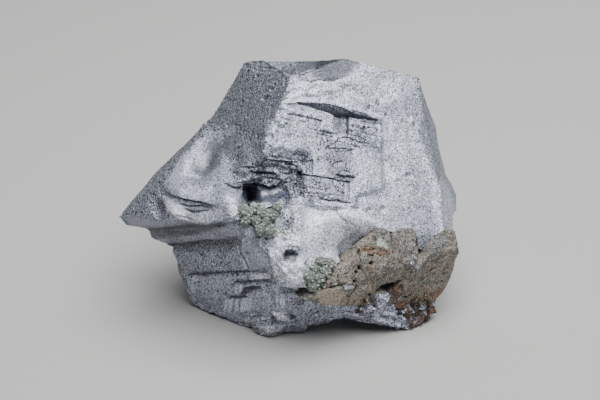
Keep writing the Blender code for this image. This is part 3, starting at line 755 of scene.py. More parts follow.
# How dull, smooth, tarnished or freshly broken the surface is, much of it painted shade and painted
# highlights:
# name, value, softness in pixels, outline. Later patches lie over earlier ones.
TONES = [
    # the etched left faces: dull from their pits, and darker still as painted shade away from the light
    ("dull_and_shade", 0.85, 9, [(236, 66), (285, 72), (289, 92), (266, 124), (260, 155), (240, 172), (222, 166),
        (212, 148), (204, 132), (206, 114)]),
    ("dull_and_shade", 0.4, 12, [(214, 140), (262, 130), (262, 160), (240, 186), (214, 176), (204, 160)]),
    ("dull_and_shade", 0.85, 8, [(240, 130), (264, 126), (263, 158), (247, 170), (232, 177), (225, 160)]),
    # painted shade in the scoop's dent, and a painted highlight on its lit side
    ("dull_and_shade", 0.95, 9, [(190, 174), (195, 154), (207, 139), (238, 129), (242, 148), (226, 156), (216, 168),
        (205, 182)]),
    ("tarnish_and_shade", 0.36, 9, [(190, 172), (196, 153), (208, 139), (236, 131), (240, 146), (224, 155),
        (213, 167), (203, 177)]),
    ("smooth", 0.7, 6, [(192, 174), (197, 154), (209, 141), (232, 136), (233, 150), (221, 157),
        (208, 176)]),
    ("dull_and_shade", 0.5, 6, [(190, 170), (222, 174), (226, 190), (192, 192)]),
    ("fresh_and_highlight", 0.25, 8, [(168, 178), (194, 146), (205, 138), (207, 150), (196, 164), (178, 186)]),
    ("dull_and_shade", 1.0, 4, [(140, 182), (204, 120), (213, 114), (218, 124), (200, 140), (176, 162), (162, 184)]),
    ("tarnish_and_shade", 0.15, 3, [(140, 182), (204, 120), (211, 116), (212, 122), (192, 138), (168, 160),
        (154, 180)]),
    # the lower left face and its foot: dull from their pits, and partly painted shade
    ("dull_and_shade", 0.6, 4, [(168, 242), (236, 239), (246, 268), (268, 268), (272, 290), (302, 290), (302, 308),
        (262, 335), (190, 320), (164, 262)]),
    ("dull_and_shade", 0.4, 10, [(180, 300), (262, 298), (300, 300), (300, 340), (190, 330)]),
    ("dull_and_shade", 0.65, 3, [(112, 214), (162, 158), (160, 186), (160, 198), (166, 214), (175, 220), (118, 222)]),
    ("dull_and_shade", 0.5, 5, [(134, 204), (150, 200), (154, 214), (136, 216)]),
    ("dull_and_shade", 0.9, 3, [(151, 190), (159, 194), (166, 209), (174, 219), (156, 219), (150, 206)]),
    # the wing's under side and the top of the face under it, in painted shade
    ("dull_and_shade", 1.0, 2, [(112, 217), (172, 218.5), (200, 224), (245, 221), (246, 245), (168, 247),
        (110, 226)]),
    ("tarnish_and_shade", 0.25, 4, [(172, 219), (200, 224), (236, 220), (236, 226), (180, 227)]),
    ("tarnish_and_shade", 0.7, 4, [(146, 229), (175, 226.6), (205, 224.6), (224, 222), (224, 228), (205, 233),
        (180, 238), (150, 240)]),
    ("tarnish_and_shade", 0.6, 6, [(168, 241), (214, 240), (242, 237), (242, 246), (226, 252), (168, 253)]),
    ("smooth", 0.8, 2, [(112, 217), (172, 218.5), (200, 224), (245, 221), (246, 238), (168, 246),
        (110, 226)]),
    # the crown's chip: a painted dark reflection
    ("dull_and_shade", 0.5, 4, [(240, 58), (286, 58), (286, 68), (250, 71)]), ("dull_and_shade", 1.0, 1.5, CROWN_CHIP),
    ("tarnish_and_shade", 0.28, 1.5, CROWN_CHIP), ("smooth", 0.45, 1.5, CROWN_CHIP),
    ("tarnish_and_shade", 0.8, 3, [(318, 52), (346, 51), (361, 61), (352, 71), (344, 77), (326, 81), (312, 76)]),
    ("smooth", 0.9, 3, [(306, 54), (346, 51), (361, 61), (352, 71), (344, 77), (326, 81), (306, 80)]),
    ("dull_and_shade", 0.45, 3, [(246, 60), (272, 60), (270, 70), (246, 70)]),
    # the right flank and the small facet over the wing's lip, in painted shade
    ("tarnish_and_shade", 0.15, 3, [(419, 80), (424, 80), (459, 184), (460, 230), (444, 230), (441, 207),
        (436, 150)]),
    ("tarnish_and_shade", 0.25, 2.5, [(160, 168), (172, 166), (173, 178), (170, 184), (162, 182)]),
    # painted shadow in the wedge under the lip over the plates, and the grey strip under it, dull and in
    # part painted shade
    ("tarnish_and_shade", 0.6, 0.8, [(297, 102), (316, 103), (334, 104.5), (343, 107.5), (351, 111.5), (361, 114.5),
        (378, 119), (378, 120), (358, 117.5), (350, 116), (342, 115.6), (336, 114.4), (327.5, 111),
        (317.5, 108), (311, 105.5), (300, 103.5)]),
    ("tarnish_and_shade", 0.95, 1.0, [(312, 106), (318, 108.4), (328, 111.4), (336, 114.8), (343, 116), (351, 116.4),
        (360, 118), (366, 118), (352, 113.6), (343, 112.4), (334, 110.4), (322, 107.4)]),
    ("dull_and_shade", 0.75, 2.5, [(335, 114), (349, 116), (349, 124), (335, 126)]),
    ("dull_and_shade", 0.85, 3, [(335, 124), (349, 124), (349, 137), (335, 140)]),
    ("dull_and_shade", 1.0, 1.4, [(335, 114), (349, 116), (349, 134), (336, 136)]),
    ("tarnish_and_shade", 0.5, 2, [(335, 114), (349, 116), (349, 133), (337, 134)]),
    ("smooth", 0.7, 3, [(335, 114), (349, 116), (349, 136), (335, 140)]),
    ("dull_and_shade", 0.45, 2, [(334, 141), (341, 137), (352, 139), (351, 148), (332, 146)]),
    ("dull_and_shade", 0.95, 4, [(324, 150), (350, 150), (350, 182), (330, 178)]),
    ("tarnish_and_shade", 0.22, 4, [(324, 150), (350, 150), (350, 182), (330, 178)]),
    ("smooth", 0.55, 4, [(324, 150), (350, 150), (350, 182), (330, 178)]),
    ("dull_and_shade", 0.6, 5, [(348, 118), (378, 122), (378, 148), (352, 148)]),
    ("dull_and_shade", 0.7, 3, [(304, 175), (350, 182), (350, 202), (304, 198)]),
    ("dull_and_shade", 0.35, 4, [(290, 112), (322, 119), (320, 150), (305, 150), (291, 140)]),
    ("dull_and_shade", 0.7, 3, [(322, 129), (336, 132), (334, 150), (320, 150)]),
    ("dull_and_shade", 0.3, 2, [(345, 183), (350, 183), (350, 201), (345, 200)]),
    ("dull_and_shade", 0.8, 2, [(294, 153), (299, 151), (305, 152), (314, 156.5), (309, 159.5), (304, 160),
        (299, 157.6)]),
    ("tarnish_and_shade", 0.5, 2, [(299, 156), (305, 156.4), (314, 156.5), (309, 159.5), (304, 160), (299, 158.6)]),
    ("dull_and_shade", 0.8, 2, [(300, 160), (314, 158), (314, 174), (301, 171)]),
    ("tarnish_and_shade", 1.0, 1.2, [(298.5, 169.5), (303.5, 170), (304.5, 175), (300, 174)]),
    # the ledges with painted shade under them, the grey column, and the black cavity in painted shade
    ("dull_and_shade", 0.6, 4, [(262, 152), (300, 158), (290, 164), (268, 162)]),
    ("dull_and_shade", 0.9, 3, [(286, 164), (303, 164), (303, 195), (284, 198), (280, 184)]),
    ("dull_and_shade", 0.7, 4, [(226, 180), (250, 171), (282, 174), (280, 186), (262, 186), (240, 188)]),
    ("dull_and_shade", 0.6, 4, [(257, 188), (278, 188), (278, 202), (260, 204)]),
    ("dull_and_shade", 0.8, 5, [(226, 184), (244, 166), (262, 158), (282, 164), (285, 176), (281, 184), (262, 188),
        (240, 189)]),
    ("dull_and_shade", 0.6, 4, [(264, 164), (280, 164), (284, 172), (278, 180), (266, 172)]),
    ("dull_and_shade", 0.8, 3, [(257, 187), (280, 186), (280, 203), (259, 206)]),
    ("smooth", 0.8, 3, [(258, 188), (278, 188), (279, 202), (260, 204)]),
    ("fresh_and_highlight", 0.3, 1.6, [(267, 154), (280, 154), (296, 156), (294, 159), (278, 158), (267, 157)]),
    ("tarnish_and_shade", 0.4, 1.4, [(246, 172), (258, 172.4), (274, 173.4), (282, 176), (276, 178), (262, 176.6),
        (248, 176.4), (238, 180), (240, 175.6)]),
    ("tarnish_and_shade", 0.45, 5, [(236, 187), (246, 183.6), (262, 184), (262, 200), (262, 207), (243, 206)]),
    ("tarnish_and_shade", 0.6, 2.5, [(246, 203), (264, 204), (266, 210), (246, 211)]),
    ("tarnish_and_shade", 0.7, 4.0, [(244.6, 188), (257.4, 186), (256.4, 196), (260, 208), (246, 209), (247, 194)]),
    ("tarnish_and_shade", 0.6, 2.5, [(258, 184), (270, 188), (278, 186), (277, 189.6), (268, 191.4), (258, 188.6)]),
    ("tarnish_and_shade", 0.5, 2, [(285, 162), (292, 162.6), (290, 168), (286, 167)]),
    ("dull_and_shade", 0.55, 4, [(283, 200), (294, 202), (294, 232), (280, 232)]),
    ("dull_and_shade", 0.75, 3, [(237, 238), (262, 236), (270, 268), (246, 270), (240, 256)]),
    ("smooth", 0.8, 3, [(237, 238), (262, 236), (270, 268), (246, 270), (240, 256)]),
    ("dull_and_shade", 0.05, 1.2, [(250.6, 274.6), (268, 273.6), (268.6, 280), (251, 281)]),
    ("dull_and_shade", 0.1, 1.6, [(188, 277), (195, 277), (194, 293), (187, 294)]),
    ("dull_and_shade", 0.1, 1.6, [(276.6, 291), (285, 295), (285.4, 309), (277, 312)]),
    # painted shade along the steps of the lower left face, and painted highlights on its bright columns and
    # facets
    ("tarnish_and_shade", 0.8, 1.0, [(189, 273.4), (222, 271.2), (249, 270), (249, 272.4), (222, 274), (189, 276.4)]),
    ("tarnish_and_shade", 0.9, 1.0, [(234, 280.8), (250, 280.4), (268.6, 279.4), (268.6, 282), (250, 283.4),
        (234, 283.4)]),
    ("tarnish_and_shade", 0.9, 1.2, [(243, 287.6), (250, 287), (260, 286.2), (259.6, 289.4), (250, 291), (242, 293)]),
    ("tarnish_and_shade", 0.9, 1.2, [(229, 295.6), (240, 295.6), (245, 294.6), (245, 297.4), (238, 298.8),
        (229, 298.4)]),
    ("fresh_and_highlight", 0.6, 1.4, [(188, 277), (194, 277), (193, 293), (186.6, 294)]),
    ("fresh_and_highlight", 0.75, 1.2, [(234.6, 283.6), (241.6, 283.4), (241, 292), (235, 294)]),
    ("fresh_and_highlight", 0.65, 1.4, [(225, 299.4), (233, 299), (232.6, 311), (225, 312)]),
    ("fresh_and_highlight", 0.5, 1.4, [(236, 299.4), (251, 298.6), (250, 311), (236, 312)]),
    ("fresh_and_highlight", 0.7, 1.4, [(276.6, 291), (284, 295), (285, 309), (277, 312)]),
    ("smooth", 0.6, 2, [(225, 299), (251, 298), (250, 311), (225, 312)]),
    ("dull_and_shade", 0.2, 5, [(186, 276), (262, 276), (268, 300), (262, 312), (200, 312), (188, 296)]),
    ("dull_and_shade", 0.3, 2, [(271, 313), (294, 312), (296, 322), (286, 326), (277, 322)]),
    ("dull_and_shade", 0.3, 3, [(239, 315), (256, 314), (256, 323), (240, 322)]),
    ("dull_and_shade", 0.45, 4, [(254, 325), (288, 325), (278, 337), (260, 334)]),
    ("fresh_and_highlight", 0.9, 1.4, [(271, 313), (285, 313.6), (291, 318), (289, 322.6), (280, 321)]),
    ("tarnish_and_shade", 0.6, 1.0, [(289, 315.4), (294, 317), (296.6, 320), (293, 321), (291, 318.4)]),
    ("tarnish_and_shade", 0.35, 1.6, [(268, 315), (276, 321.4), (288, 324.6), (297, 322), (296, 325), (286, 327.6),
        (272, 325)]),
    ("fresh_and_highlight", 0.7, 2, [(237, 314), (256, 313.6), (256, 321), (240, 322)]),
    ("fresh_and_highlight", 0.65, 3, [(257, 325), (286, 327), (277, 335), (262, 333)]),
    ("fresh_and_highlight", 0.75, 1.2, [(250.6, 274.6), (268, 273.6), (268.6, 279.6), (251, 280.4)]),
    ("fresh_and_highlight", 0.25, 6, [(206, 313), (236, 311), (262, 312), (262, 322), (232, 320), (206, 319)]),
    # painted light on the bright middle, the hollow over the matrix and the right flank
    ("fresh_and_highlight", 0.65, 5, [(273, 232), (284, 228), (300, 232), (304, 262), (304, 284), (294, 287), (284, 278),
        (275, 262)]),
    ("fresh_and_highlight", 0.6, 7, [(304, 206), (340, 210), (372, 222), (366, 236), (345, 256), (326, 262), (306, 268),
        (300, 240)]),
    ("fresh_and_highlight", 1.0, 7, [(334, 214), (360, 210), (382, 220), (376, 232), (352, 246), (334, 242)]),
    ("fresh_and_highlight", 0.5, 5, [(434, 176), (448, 184), (458, 208), (460, 230), (440, 230), (430, 200)]),
    ("tarnish_and_shade", 0.35, 4, [(256, 238), (271, 235), (272, 250), (270, 264), (262, 252)]),
    ("fresh_and_highlight", 0.75, 3, [(270, 240), (276, 262), (284, 280), (298, 289), (284, 288), (274, 276),
        (268, 258)]),
    ("dull_and_shade", 0.7, 3, [(254, 236), (270, 234), (271, 250), (270, 262), (276, 272), (286, 284), (270, 287),
        (258, 270), (248, 250)]),
    # painted shade in the top of the small hollow, and a painted shadow under the bright lower lip
    ("tarnish_and_shade", 0.85, 1.2, [(283.4, 254.4), (288, 250.4), (294, 250.2), (299.4, 253.6), (298, 256),
        (293, 253.8), (288.8, 254.8), (287.4, 259.6), (284.4, 259.6)]),
    ("dull_and_shade", 0.6, 2, [(288, 257), (298, 256), (297, 264), (290, 264)]),
    ("tarnish_and_shade", 0.5, 3, [(278, 288.4), (302, 289.6), (302, 295), (280, 294)]),
    ("dull_and_shade", 0.38, 6, [(424, 88), (440, 120), (458, 190), (462, 232), (448, 225), (434, 170), (424, 140)]),
    ("dull_and_shade", 0.45, 3, [(300, 304), (330, 308), (372, 300), (400, 310), (430, 300), (430, 330), (300, 330)]),
    # the bright plate below the wing's lip, with a painted highlight, and a painted shadow under the lip
    ("fresh_and_highlight", 1.0, 1.2, [(160, 195), (167, 197), (178, 203), (186, 212), (190, 219), (184, 221), (176, 219),
        (166, 211)]),
    ("fresh_and_highlight", 0.5, 2, [(186, 214), (203, 213), (216, 209), (222, 209), (222, 219), (200, 222.6),
        (184, 221)]),
    ("dull_and_shade", 0.0, 1.5, [(160, 195), (167, 197), (178, 203), (190, 212.4), (203, 212), (216, 208),
        (222, 208), (222, 219), (200, 223), (176, 219), (166, 211)]),
    ("smooth", 0.5, 3, [(160, 195), (168, 198), (178, 204), (190, 213), (203, 213), (222, 210), (222, 219),
        (200, 223), (176, 219), (166, 211)]),
    ("dull_and_shade", 0.3, 4, [(180, 212), (222, 211), (222, 221), (200, 223), (182, 221)]),
    ("tarnish_and_shade", 0.45, 1.5, [(160, 186), (165.4, 191), (174, 196), (184, 199), (196, 201), (207, 203),
        (215, 206), (211, 209), (202, 211), (190, 211.4), (181, 205.4), (172, 199.6), (162, 195)]),
]
# The black cavity under the ledges, and its depth in mm.
CAVITY = [(245.5, 189), (250, 187), (255.5, 187.4), (256.5, 192), (256, 199), (259.5, 207), (255, 211),
    (247.5, 210.6), (248, 198), (247, 192)]
CAVITY_DEPTH = 1.9
# Etch pits deep enough to model: how many, then the outline that they are scattered in.
ETCHED = [
    (60, [(238, 66), (284, 74), (282, 100), (262, 126), (256, 150), (230, 160), (212, 120)]),
    (60, [(176, 250), (236, 246), (236, 268), (266, 284), (262, 300), (250, 314), (196, 306)]),
    (30, [(122, 214), (152, 176), (160, 182), (158, 200), (150, 215)]),
    (24, [(352, 84), (416, 84), (424, 140), (400, 120), (366, 108)]),
    (20, [(287, 168), (302, 168), (302, 194), (288, 194)]),
]
HIDDEN_PITS = 260
PIT_RADIUS, PIT_STRETCH = (0.16, 0.32), 1.5     # mm, and how much longer than wide a pit is
PIT_WALL, PIT_DEPTH = 2.5, 0.5                  # how steep its wall is, and its depth in radii
PIT_SEED = 5
# Noise laid over the crystal: size in mm, seed and height in mm.
ROLLING = ((9, 3, 0.35), (4, 5, 0.14))          # the grown faces' slow waves
LUMPY = ((0.9, 74, 0.12),)                      # small lumps where the crystal doesn't show
FINE_GRAIN = ((1.3, 8, 0.05), (0.6, 9, 0.04))
FALLEN = ((2.6, 72, 0.35), (1.2, 73, 0.2))      # cells broken away at the back: size, seed and depth in mm
FLAT_ROUNDS, FIRST_ROUNDS, WING_ROUNDS, HIDDEN_ROUNDS = 30, 2, 60, 14       # rounds of melting
WANDER_SIZE = 0.9                               # mm, the length of the lines' ragged waves
# Faces laid flat before they are cut: axes, level, area, how far off they may lie and the blend in mm.
FLAT_FACES = (
    (CUBE, STEP_FACE, STEP_AREA, 4.5, 2.0),
    (LOWER, LOWER_FACE, LOWER_AREA, 1.5, 0.5),
)
# Lines cut in the crystal: the way out of the face, edges, slots, and how far they wander in pixels.
CUTS = (
    (CUBE.out, STEP_EDGES, STEP_SLOTS, 0.65),
    (LOWER.out, LOWER_EDGES, LOWER_SLOTS, 0.3),
    (TOWARD, LIP_EDGES, (), 0.65),
)
KEPT_MARK = 0.05                                # how dark or bright a mark has to be to stay fine
MEET_REACH, MEET_GAP = 1.4, 0.03                # mm, how the crystal is drawn up to the pieces set in it
MERGED = 0.04                                   # mm within which the smooth skins' vertices are joined
SHARP_ANGLE = radians(38)


def polyline_reach(places, line):
    """Distance of flat places from a line, how far they are below it, and its value there."""
    line = np.array(line, float)
    nearest = np.full(len(places), np.inf)
    side, value = np.zeros(len(places)), np.zeros(len(places))
    for start, end in zip(line[:-1], line[1:]):
        edge = (end - start)[:2]
        reach = places - start[:2]
        along = reach @ edge / (edge @ edge)
        held = np.clip(along, 0, 1)
        gap = reach - held[:, None] * edge
        distance = np.hypot(gap[:, 0], gap[:, 1])
        closer = distance < nearest
        below = (edge[0] * reach[:, 1] - edge[1] * reach[:, 0]) / np.hypot(*edge)
        nearest = np.where(closer, distance, nearest)
        side = np.where(closer, below, side)
        value = np.where(closer, start[2] + held * (end[2] - start[2]), value)
    return nearest, side, value


class Relief:
    """Moves laid out in picture pixels, on the vertices that show there."""

    def __init__(self, skin):
        self.skin = skin
        self.places, _ = picture_spots(skin.spots)
        facing = skin.normals() @ TOWARD
        shown = (skin.seen() * ease(facing, 0.0, 0.2))[:, None]
        for _ in range(3):
            shown = (shown + skin.neighbours(shown)) / 2
        self.shown = shown[:, 0]
        self.shift = np.zeros((len(skin.spots), 3))
        self.crack, self.gleam = np.zeros(len(skin.spots)), np.zeros(len(skin.spots))
        self.ragged, self.broken, self.waves = self.places, 1.0, {}

    def hidden(self):
        """1 where the surface doesn't show in the show view, easing to 0 where it does."""
        return 1 - np.clip(self.shown * 3, 0, 1)

    def fray(self, size, amount):
        """Makes the lines cut from here on ragged, in pixels, and broken."""
        spots = self.skin.spots
        if size not in self.waves:
            self.waves[size] = np.stack([clouds(spots, size, 61), clouds(spots, size, 62)], axis=1)
            self.broken = 0.3 + 0.7 * ease(clouds(spots, size * 1.4, 63), -0.6, 0.3)
        self.ragged = self.places + self.waves[size] * amount

    def inside(self, outline, soft=1.2):
        """1 inside an outline, easing to 0 outside it."""
        return ease(-outline_distance(self.ragged, outline), -soft / 2, soft / 2) * self.shown

    def add(self, direction, amount):
        """Adds a move along one direction, or along each vertex's own."""
        self.shift += np.asarray(direction) * np.asarray(amount)[:, None]

    def edge(self, direction, climb, darkness, line):
        """A sharp drop under a line that climbs back further down, with painted shade along its foot."""
        nearest, below, drop = polyline_reach(self.ragged, line)
        ends = (1 - ease(nearest - np.abs(below), 0.3, 1.5)) * self.shown
        profile = ease(below, -0.2, 0.9) * np.clip((climb - below) / (climb - 0.9), 0, 1)
        self.add(direction, -drop * profile * ends)
        width = 0.5 + 1.2 * drop
        stroke = ease(below, -0.4, 0.3) * (1 - ease(below, width, width + 1.4)) * ends
        self.crack = np.maximum(self.crack, stroke * darkness * self.broken)

    def slot(self, direction, width, darkness, line):
        """A narrow groove along a line with painted shade in it, or a ridge with a painted highlight where
        the darkness is negative.
        """
        nearest, _, depth = polyline_reach(self.ragged, line)
        groove = (1 - ease(nearest, width * 0.35, width)) * self.shown
        self.add(direction, -depth * groove * (1 if darkness > 0 else -1))
        self.crack = np.maximum(self.crack, groove * darkness * self.broken)
        self.gleam = np.maximum(self.gleam, -groove * darkness * self.broken)

    def swell(self, direction, x, y, half_x, half_y, turn, height, darkness=0.0):
        """A soft rise or dent, with painted shade at its middle if it is a pore."""
        turn = radians(turn)
        reach = self.places - (x, y)
        along = (reach[:, 0] * cos(turn) + reach[:, 1] * sin(turn)) / half_x
        over = (reach[:, 1] * cos(turn) - reach[:, 0] * sin(turn)) / half_y
        rise = np.exp(-1.5 * (along ** 2 + over ** 2)) * self.shown
        self.add(direction, height * rise)
        self.crack = np.maximum(self.crack, ease(rise, 0.25, 0.6) * darkness)

    def apply(self):
        """Carries out the moves added so far."""
        self.skin.spots += self.shift
        self.shift[:] = 0


def galena_material(settings):
    """Lead-grey metallic galena: pitted, frosted and brushed, duller where it is etched; with painted shade
    in its pits, cracks and hollows and on faces turned from the light, and painted highlights and glints.
    """
    graph = Graph("galena")
    dull_and_shade, smooth, tarnish_and_shade = (graph.attribute(name) for name in ("dull_and_shade", "smooth", "tarnish_and_shade"))
    crack, pit_shade, fresh_and_highlight = (graph.attribute(name) for name in ("crack", "pit_shade", "fresh_and_highlight"))
    place = graph.place()
    calm = 1 - smooth * 0.85
    flecks = graph.pits(graph.along(CUBE, place, (1.5, 0.8, 1.1)), 0.34, 0.56,
                        (dull_and_shade * 0.34 + 0.26 - fresh_and_highlight * 0.15 + graph.noise(place, 1.8, 2.0) * 0.2) * calm)
    specks = graph.pits(graph.along(CUBE, place, (1.3, 0.9, 1.2)), 0.21, 0.62, (dull_and_shade * 0.35 + 0.4) * calm)
    large = graph.pits(graph.along(LOWER, place, (1.3, 0.85, 1.0)), 0.46, 0.46,
                       (dull_and_shade * 0.64 + graph.noise(place, 3.0, 2.0) * 0.4 - 0.2) * calm)
    glints = graph.pits(place, 0.3, 0.42, dull_and_shade * 0.12 + 0.1)
    cloudy = graph.noise(place, 3.5, 4.0, 0.6)
    mottled = graph.noise(place, 0.9, 3.0, 0.65)
    frost = graph.noise(place, 0.25, 3.0, 0.85)
    brushed = graph.noise(graph.along(CUBE, place, (2.6, 0.4, 1.0)), 0.4, 3.0, 0.7)
    clean = graph.mix(cloudy.rise(0.3, 0.7), settings.colour, [part * 0.86 for part in settings.colour])
    colour = graph.mix(dull_and_shade, clean, settings.dull_and_shade_colour)
    colour = graph.mix(fresh_and_highlight, colour, settings.fresh_and_highlight_colour)
    colour = graph.mix(tarnish_and_shade, colour, settings.tarnish_and_shade)
    colour = graph.mix(mottled.rise(0.56, 0.36) * 0.3 * calm, colour,
                       [part * 0.45 for part in settings.colour])
    colour = graph.mix(brushed.rise(0.48, 0.26) * 0.35 * calm, colour, settings.dull_and_shade_colour)
    # painted shade in the small pits and in the modelled ones
    colour = graph.mix((specks * 0.45).highest(flecks * (dull_and_shade * 0.3 + 0.62)).clamped(), colour,
                       settings.pit_shade_colour)
    colour = graph.mix(large.highest(pit_shade * 0.75) * 0.85, colour, settings.pit_shade_colour)
    # painted glints on tiny cleavage facets
    colour = graph.mix(glints * calm * (1 - tarnish_and_shade), colour, settings.fresh_and_highlight_colour)
    # painted shade along the cleavage steps, slots and cracks
    colour = graph.mix(crack * 0.85 * (0.55 + 0.7 * frost), colour, (0.07, 0.071, 0.082))
    grain = 1 + (frost.rise(0.35, 0.65) - 0.5) * (dull_and_shade * 0.6 + 1.6) * (1 - smooth * 0.5)
    colour = graph.shade(colour, grain)
    roughness = frost * 0.25 + (settings.roughness - 0.12) - smooth * 0.1
    deep = (specks * 0.35).highest(flecks * 0.5).highest(large * 0.8)
    relief = graph.bump(1 - deep, 0.14)
    relief = graph.bump(mottled, 0.12, relief, 0.7)
    relief = graph.bump(frost, 0.06, relief, 0.9)
    return graph.finish({"Base Color": colour, "Roughness": roughness.clamped(),
                         "Metallic": 0.85 - fresh_and_highlight * 0.6, "Normal": relief})


def level_at(face, across, down):
    """A face's level along its axes."""
    return face[0] + face[1] * across + face[2] * down


def face_spot(axes, face, pixel):
    """Where a picture pixel meets a face, as across and down in mm."""
    start = axes.spread(EYE)
    step = axes.spread(EYE + sight(pixel)) - start
    height = start[2] - level_at(face, start[0], start[1])
    fall = step[2] - face[1] * step[0] - face[2] * step[1]
    return (start - step * height / fall)[:2]


def flatten(skin, axes, face, area, reach, blend):
    """Lays an area of a face flat, to be cut finely."""
    across, down, out = axes.spread(skin.spots).T
    level = level_at(face, across, down)
    corners = [face_spot(axes, face, pixel) for pixel in area]
    weight = ease(-outline_distance(np.stack([across, down], axis=1), corners), -blend, 0)
    weight *= np.abs(out - level) < reach
    skin.move(axes.out, (level - out) * weight)
    return weight


def cut_floors(relief, skin):
    """Recessed floors in the big right face."""
    across, down, out = CUBE.spread(skin.spots).T
    laid = 1 - ease(np.abs(out - level_at(STEP_FACE, across, down)), 0.5, 1.2)
    floor = np.zeros(len(across))
    for top, foot, soft, outline in STEP_FLOORS:
        corners = np.array([face_spot(CUBE, STEP_FACE, pixel) for pixel in outline])
        low, high = corners[:, 1].min(), corners[:, 1].max()
        depth = top + (foot - top) * np.clip((down - low) / (high - low), 0, 1)
        weight = ease(-outline_distance(np.stack([across, down], axis=1), corners), -soft / 2, soft / 2)
        floor = floor * (1 - weight) + depth * weight
    relief.add(CUBE.out, -floor * laid)


def refine(piece, chosen):
    """Halves the edges whose two vertices are both chosen."""
    builder = bmesh.new()
    builder.from_mesh(piece.data)
    builder.edges.ensure_lookup_table()
    edges = [edge for edge in builder.edges
             if chosen[edge.verts[0].index] and chosen[edge.verts[1].index]]
    bmesh.ops.subdivide_edges(builder, edges=edges, cuts=1, use_grid_fill=True)
    builder.to_mesh(piece.data)
    builder.free()


def lighten(piece, triangles, kept):
    """Thins a mesh to a number of triangles, but not at the vertices to be kept."""
    free = piece.vertex_groups.new(name="free")
    free.add(np.flatnonzero(~kept).tolist(), 1.0, "REPLACE")
    faces = sum(len(face.vertices) - 2 for face in piece.data.polygons)
    shrink = piece.modifiers.new("lighter", "DECIMATE")
    shrink.ratio = min(1.0, triangles / faces)
    shrink.vertex_group = free.name
    apply_modifiers(piece)


def melt_faces(skin):
    """Draws smooth skins over the hollows, softens the grown faces and leaves the cleavage crisp."""
    relief = Relief(skin)
    front = skin.near_front(FILM_DEPTH, FILM_CELL)
    for outline in SKINS:
        skin.film((outline_distance(relief.places, outline) < 0) & front, FILM_ROUNDS)
    places, _ = picture_spots(skin.spots)
    for middle, half, direction, distance in PULLS:
        reach = np.hypot(*(places - middle).T) / half
        skin.move(unit(direction), distance * np.exp(-1.5 * reach ** 2) * front)
    relief = Relief(skin)
    x, y, z = skin.spots.T      # the wing lies to the left, high up and not at the back
    wing = ease(-4 - x, 0, 5) * ease(z, 17, 22) * ease(16 - y, 0, 4)
    steps = ease(-outline_distance(relief.places, STEP_AREA), -8, 0) * relief.shown
    skin.melt(np.full(len(skin.spots), 0.5), FIRST_ROUNDS)
    skin.melt(np.clip(wing - steps, 0, 1), WING_ROUNDS)
    skin.melt(relief.hidden(), HIDDEN_ROUNDS)


def sculpt_galena(skin):
    """Turns the faceted crystal into melted faces, crisp steps and pits; returns what must stay fine."""
    relief = Relief(skin)
    stepped = relief.inside(STEP_AREA, 5)
    normals = skin.normals()
    relief.add(normals, (rough(skin.spots, ROLLING) - 0.3) * (1 - 0.8 * stepped))
    broken = ease(clouds(skin.spots, 7, 71), -0.15, 0.1) * relief.hidden()
    for size, seed, depth in FALLEN:
        relief.add(normals, -depth * cell_levels(skin.spots, size, seed) * broken)
    relief.add(normals, rough(skin.spots, LUMPY) * relief.hidden())
    for swell in SWELLS:
        relief.swell(normals, *swell)
    lumps = {}
    for size, height, outline in CRUMBLES:
        if size not in lumps:
            lumps[size] = clouds(skin.spots, size, 21) + 0.5 * clouds(skin.spots, size / 2, 22)
        relief.add(normals, height * lumps[size] * relief.inside(outline, 5))
    cut_floors(relief, skin)
    for direction, edges, slots, wander in CUTS:
        relief.fray(WANDER_SIZE, wander)
        for climb, darkness, line in edges:
            relief.edge(direction, climb, darkness, line)
        for width, darkness, line in slots:
            relief.slot(direction, width, darkness, line)
    relief.add(TOWARD, -CAVITY_DEPTH * relief.inside(CAVITY, 3))
    relief.apply()
    skin.move(skin.normals(), rough(skin.spots, FINE_GRAIN) - 0.05)
    sunk = etch(skin, relief)
    skin.meet(SET_IN, MEET_REACH, MEET_GAP)
    skin.keep_inside()
    skin.write()
    # painted shade inside the modelled pits, and along the cut edges, slots and pores
    paint(skin.mesh, "pit_shade", ease(sunk, 0.02, 0.16))
    paint(skin.mesh, "crack", relief.crack)
    paint_galena(skin, relief)
    return (relief.crack > KEPT_MARK) | (relief.gleam > KEPT_MARK) | (relief.inside(FINE_STEPS) > 0.5)


def etch(skin, relief):
    """Scatters etch pits, a little longer than wide; returns how deep each vertex lies in them."""
    rng = np.random.default_rng(PIT_SEED)
    tree = KDTree(len(skin.spots))
    for index, spot in enumerate(skin.spots):
        tree.insert(spot, index)
    tree.balance()
    normals = skin.normals()
    sunk = np.zeros(len(skin.spots))
    stretches = [(count, (outline_distance(relief.places, outline) < 0) & (relief.shown > 0.5))
                 for count, outline in ETCHED]
    stretches.append((HIDDEN_PITS, relief.hidden() > 0.5))
    for count, chosen in stretches:
        for middle in rng.choice(np.flatnonzero(chosen), count):
            radius = rng.uniform(*PIT_RADIUS)
            for _, index, _ in tree.find_range(skin.spots[middle], radius * PIT_STRETCH):
                reach = skin.spots[index] - skin.spots[middle]
                length = reach @ CUBE.down
                across = np.sqrt(max(reach @ reach - length ** 2, 0))
                fall = 1 - np.hypot(across / radius, length / (radius * PIT_STRETCH))
                sunk[index] = max(sunk[index], min(fall * PIT_WALL, 1) * radius * PIT_DEPTH)
    skin.move(normals, -sunk)
    return sunk


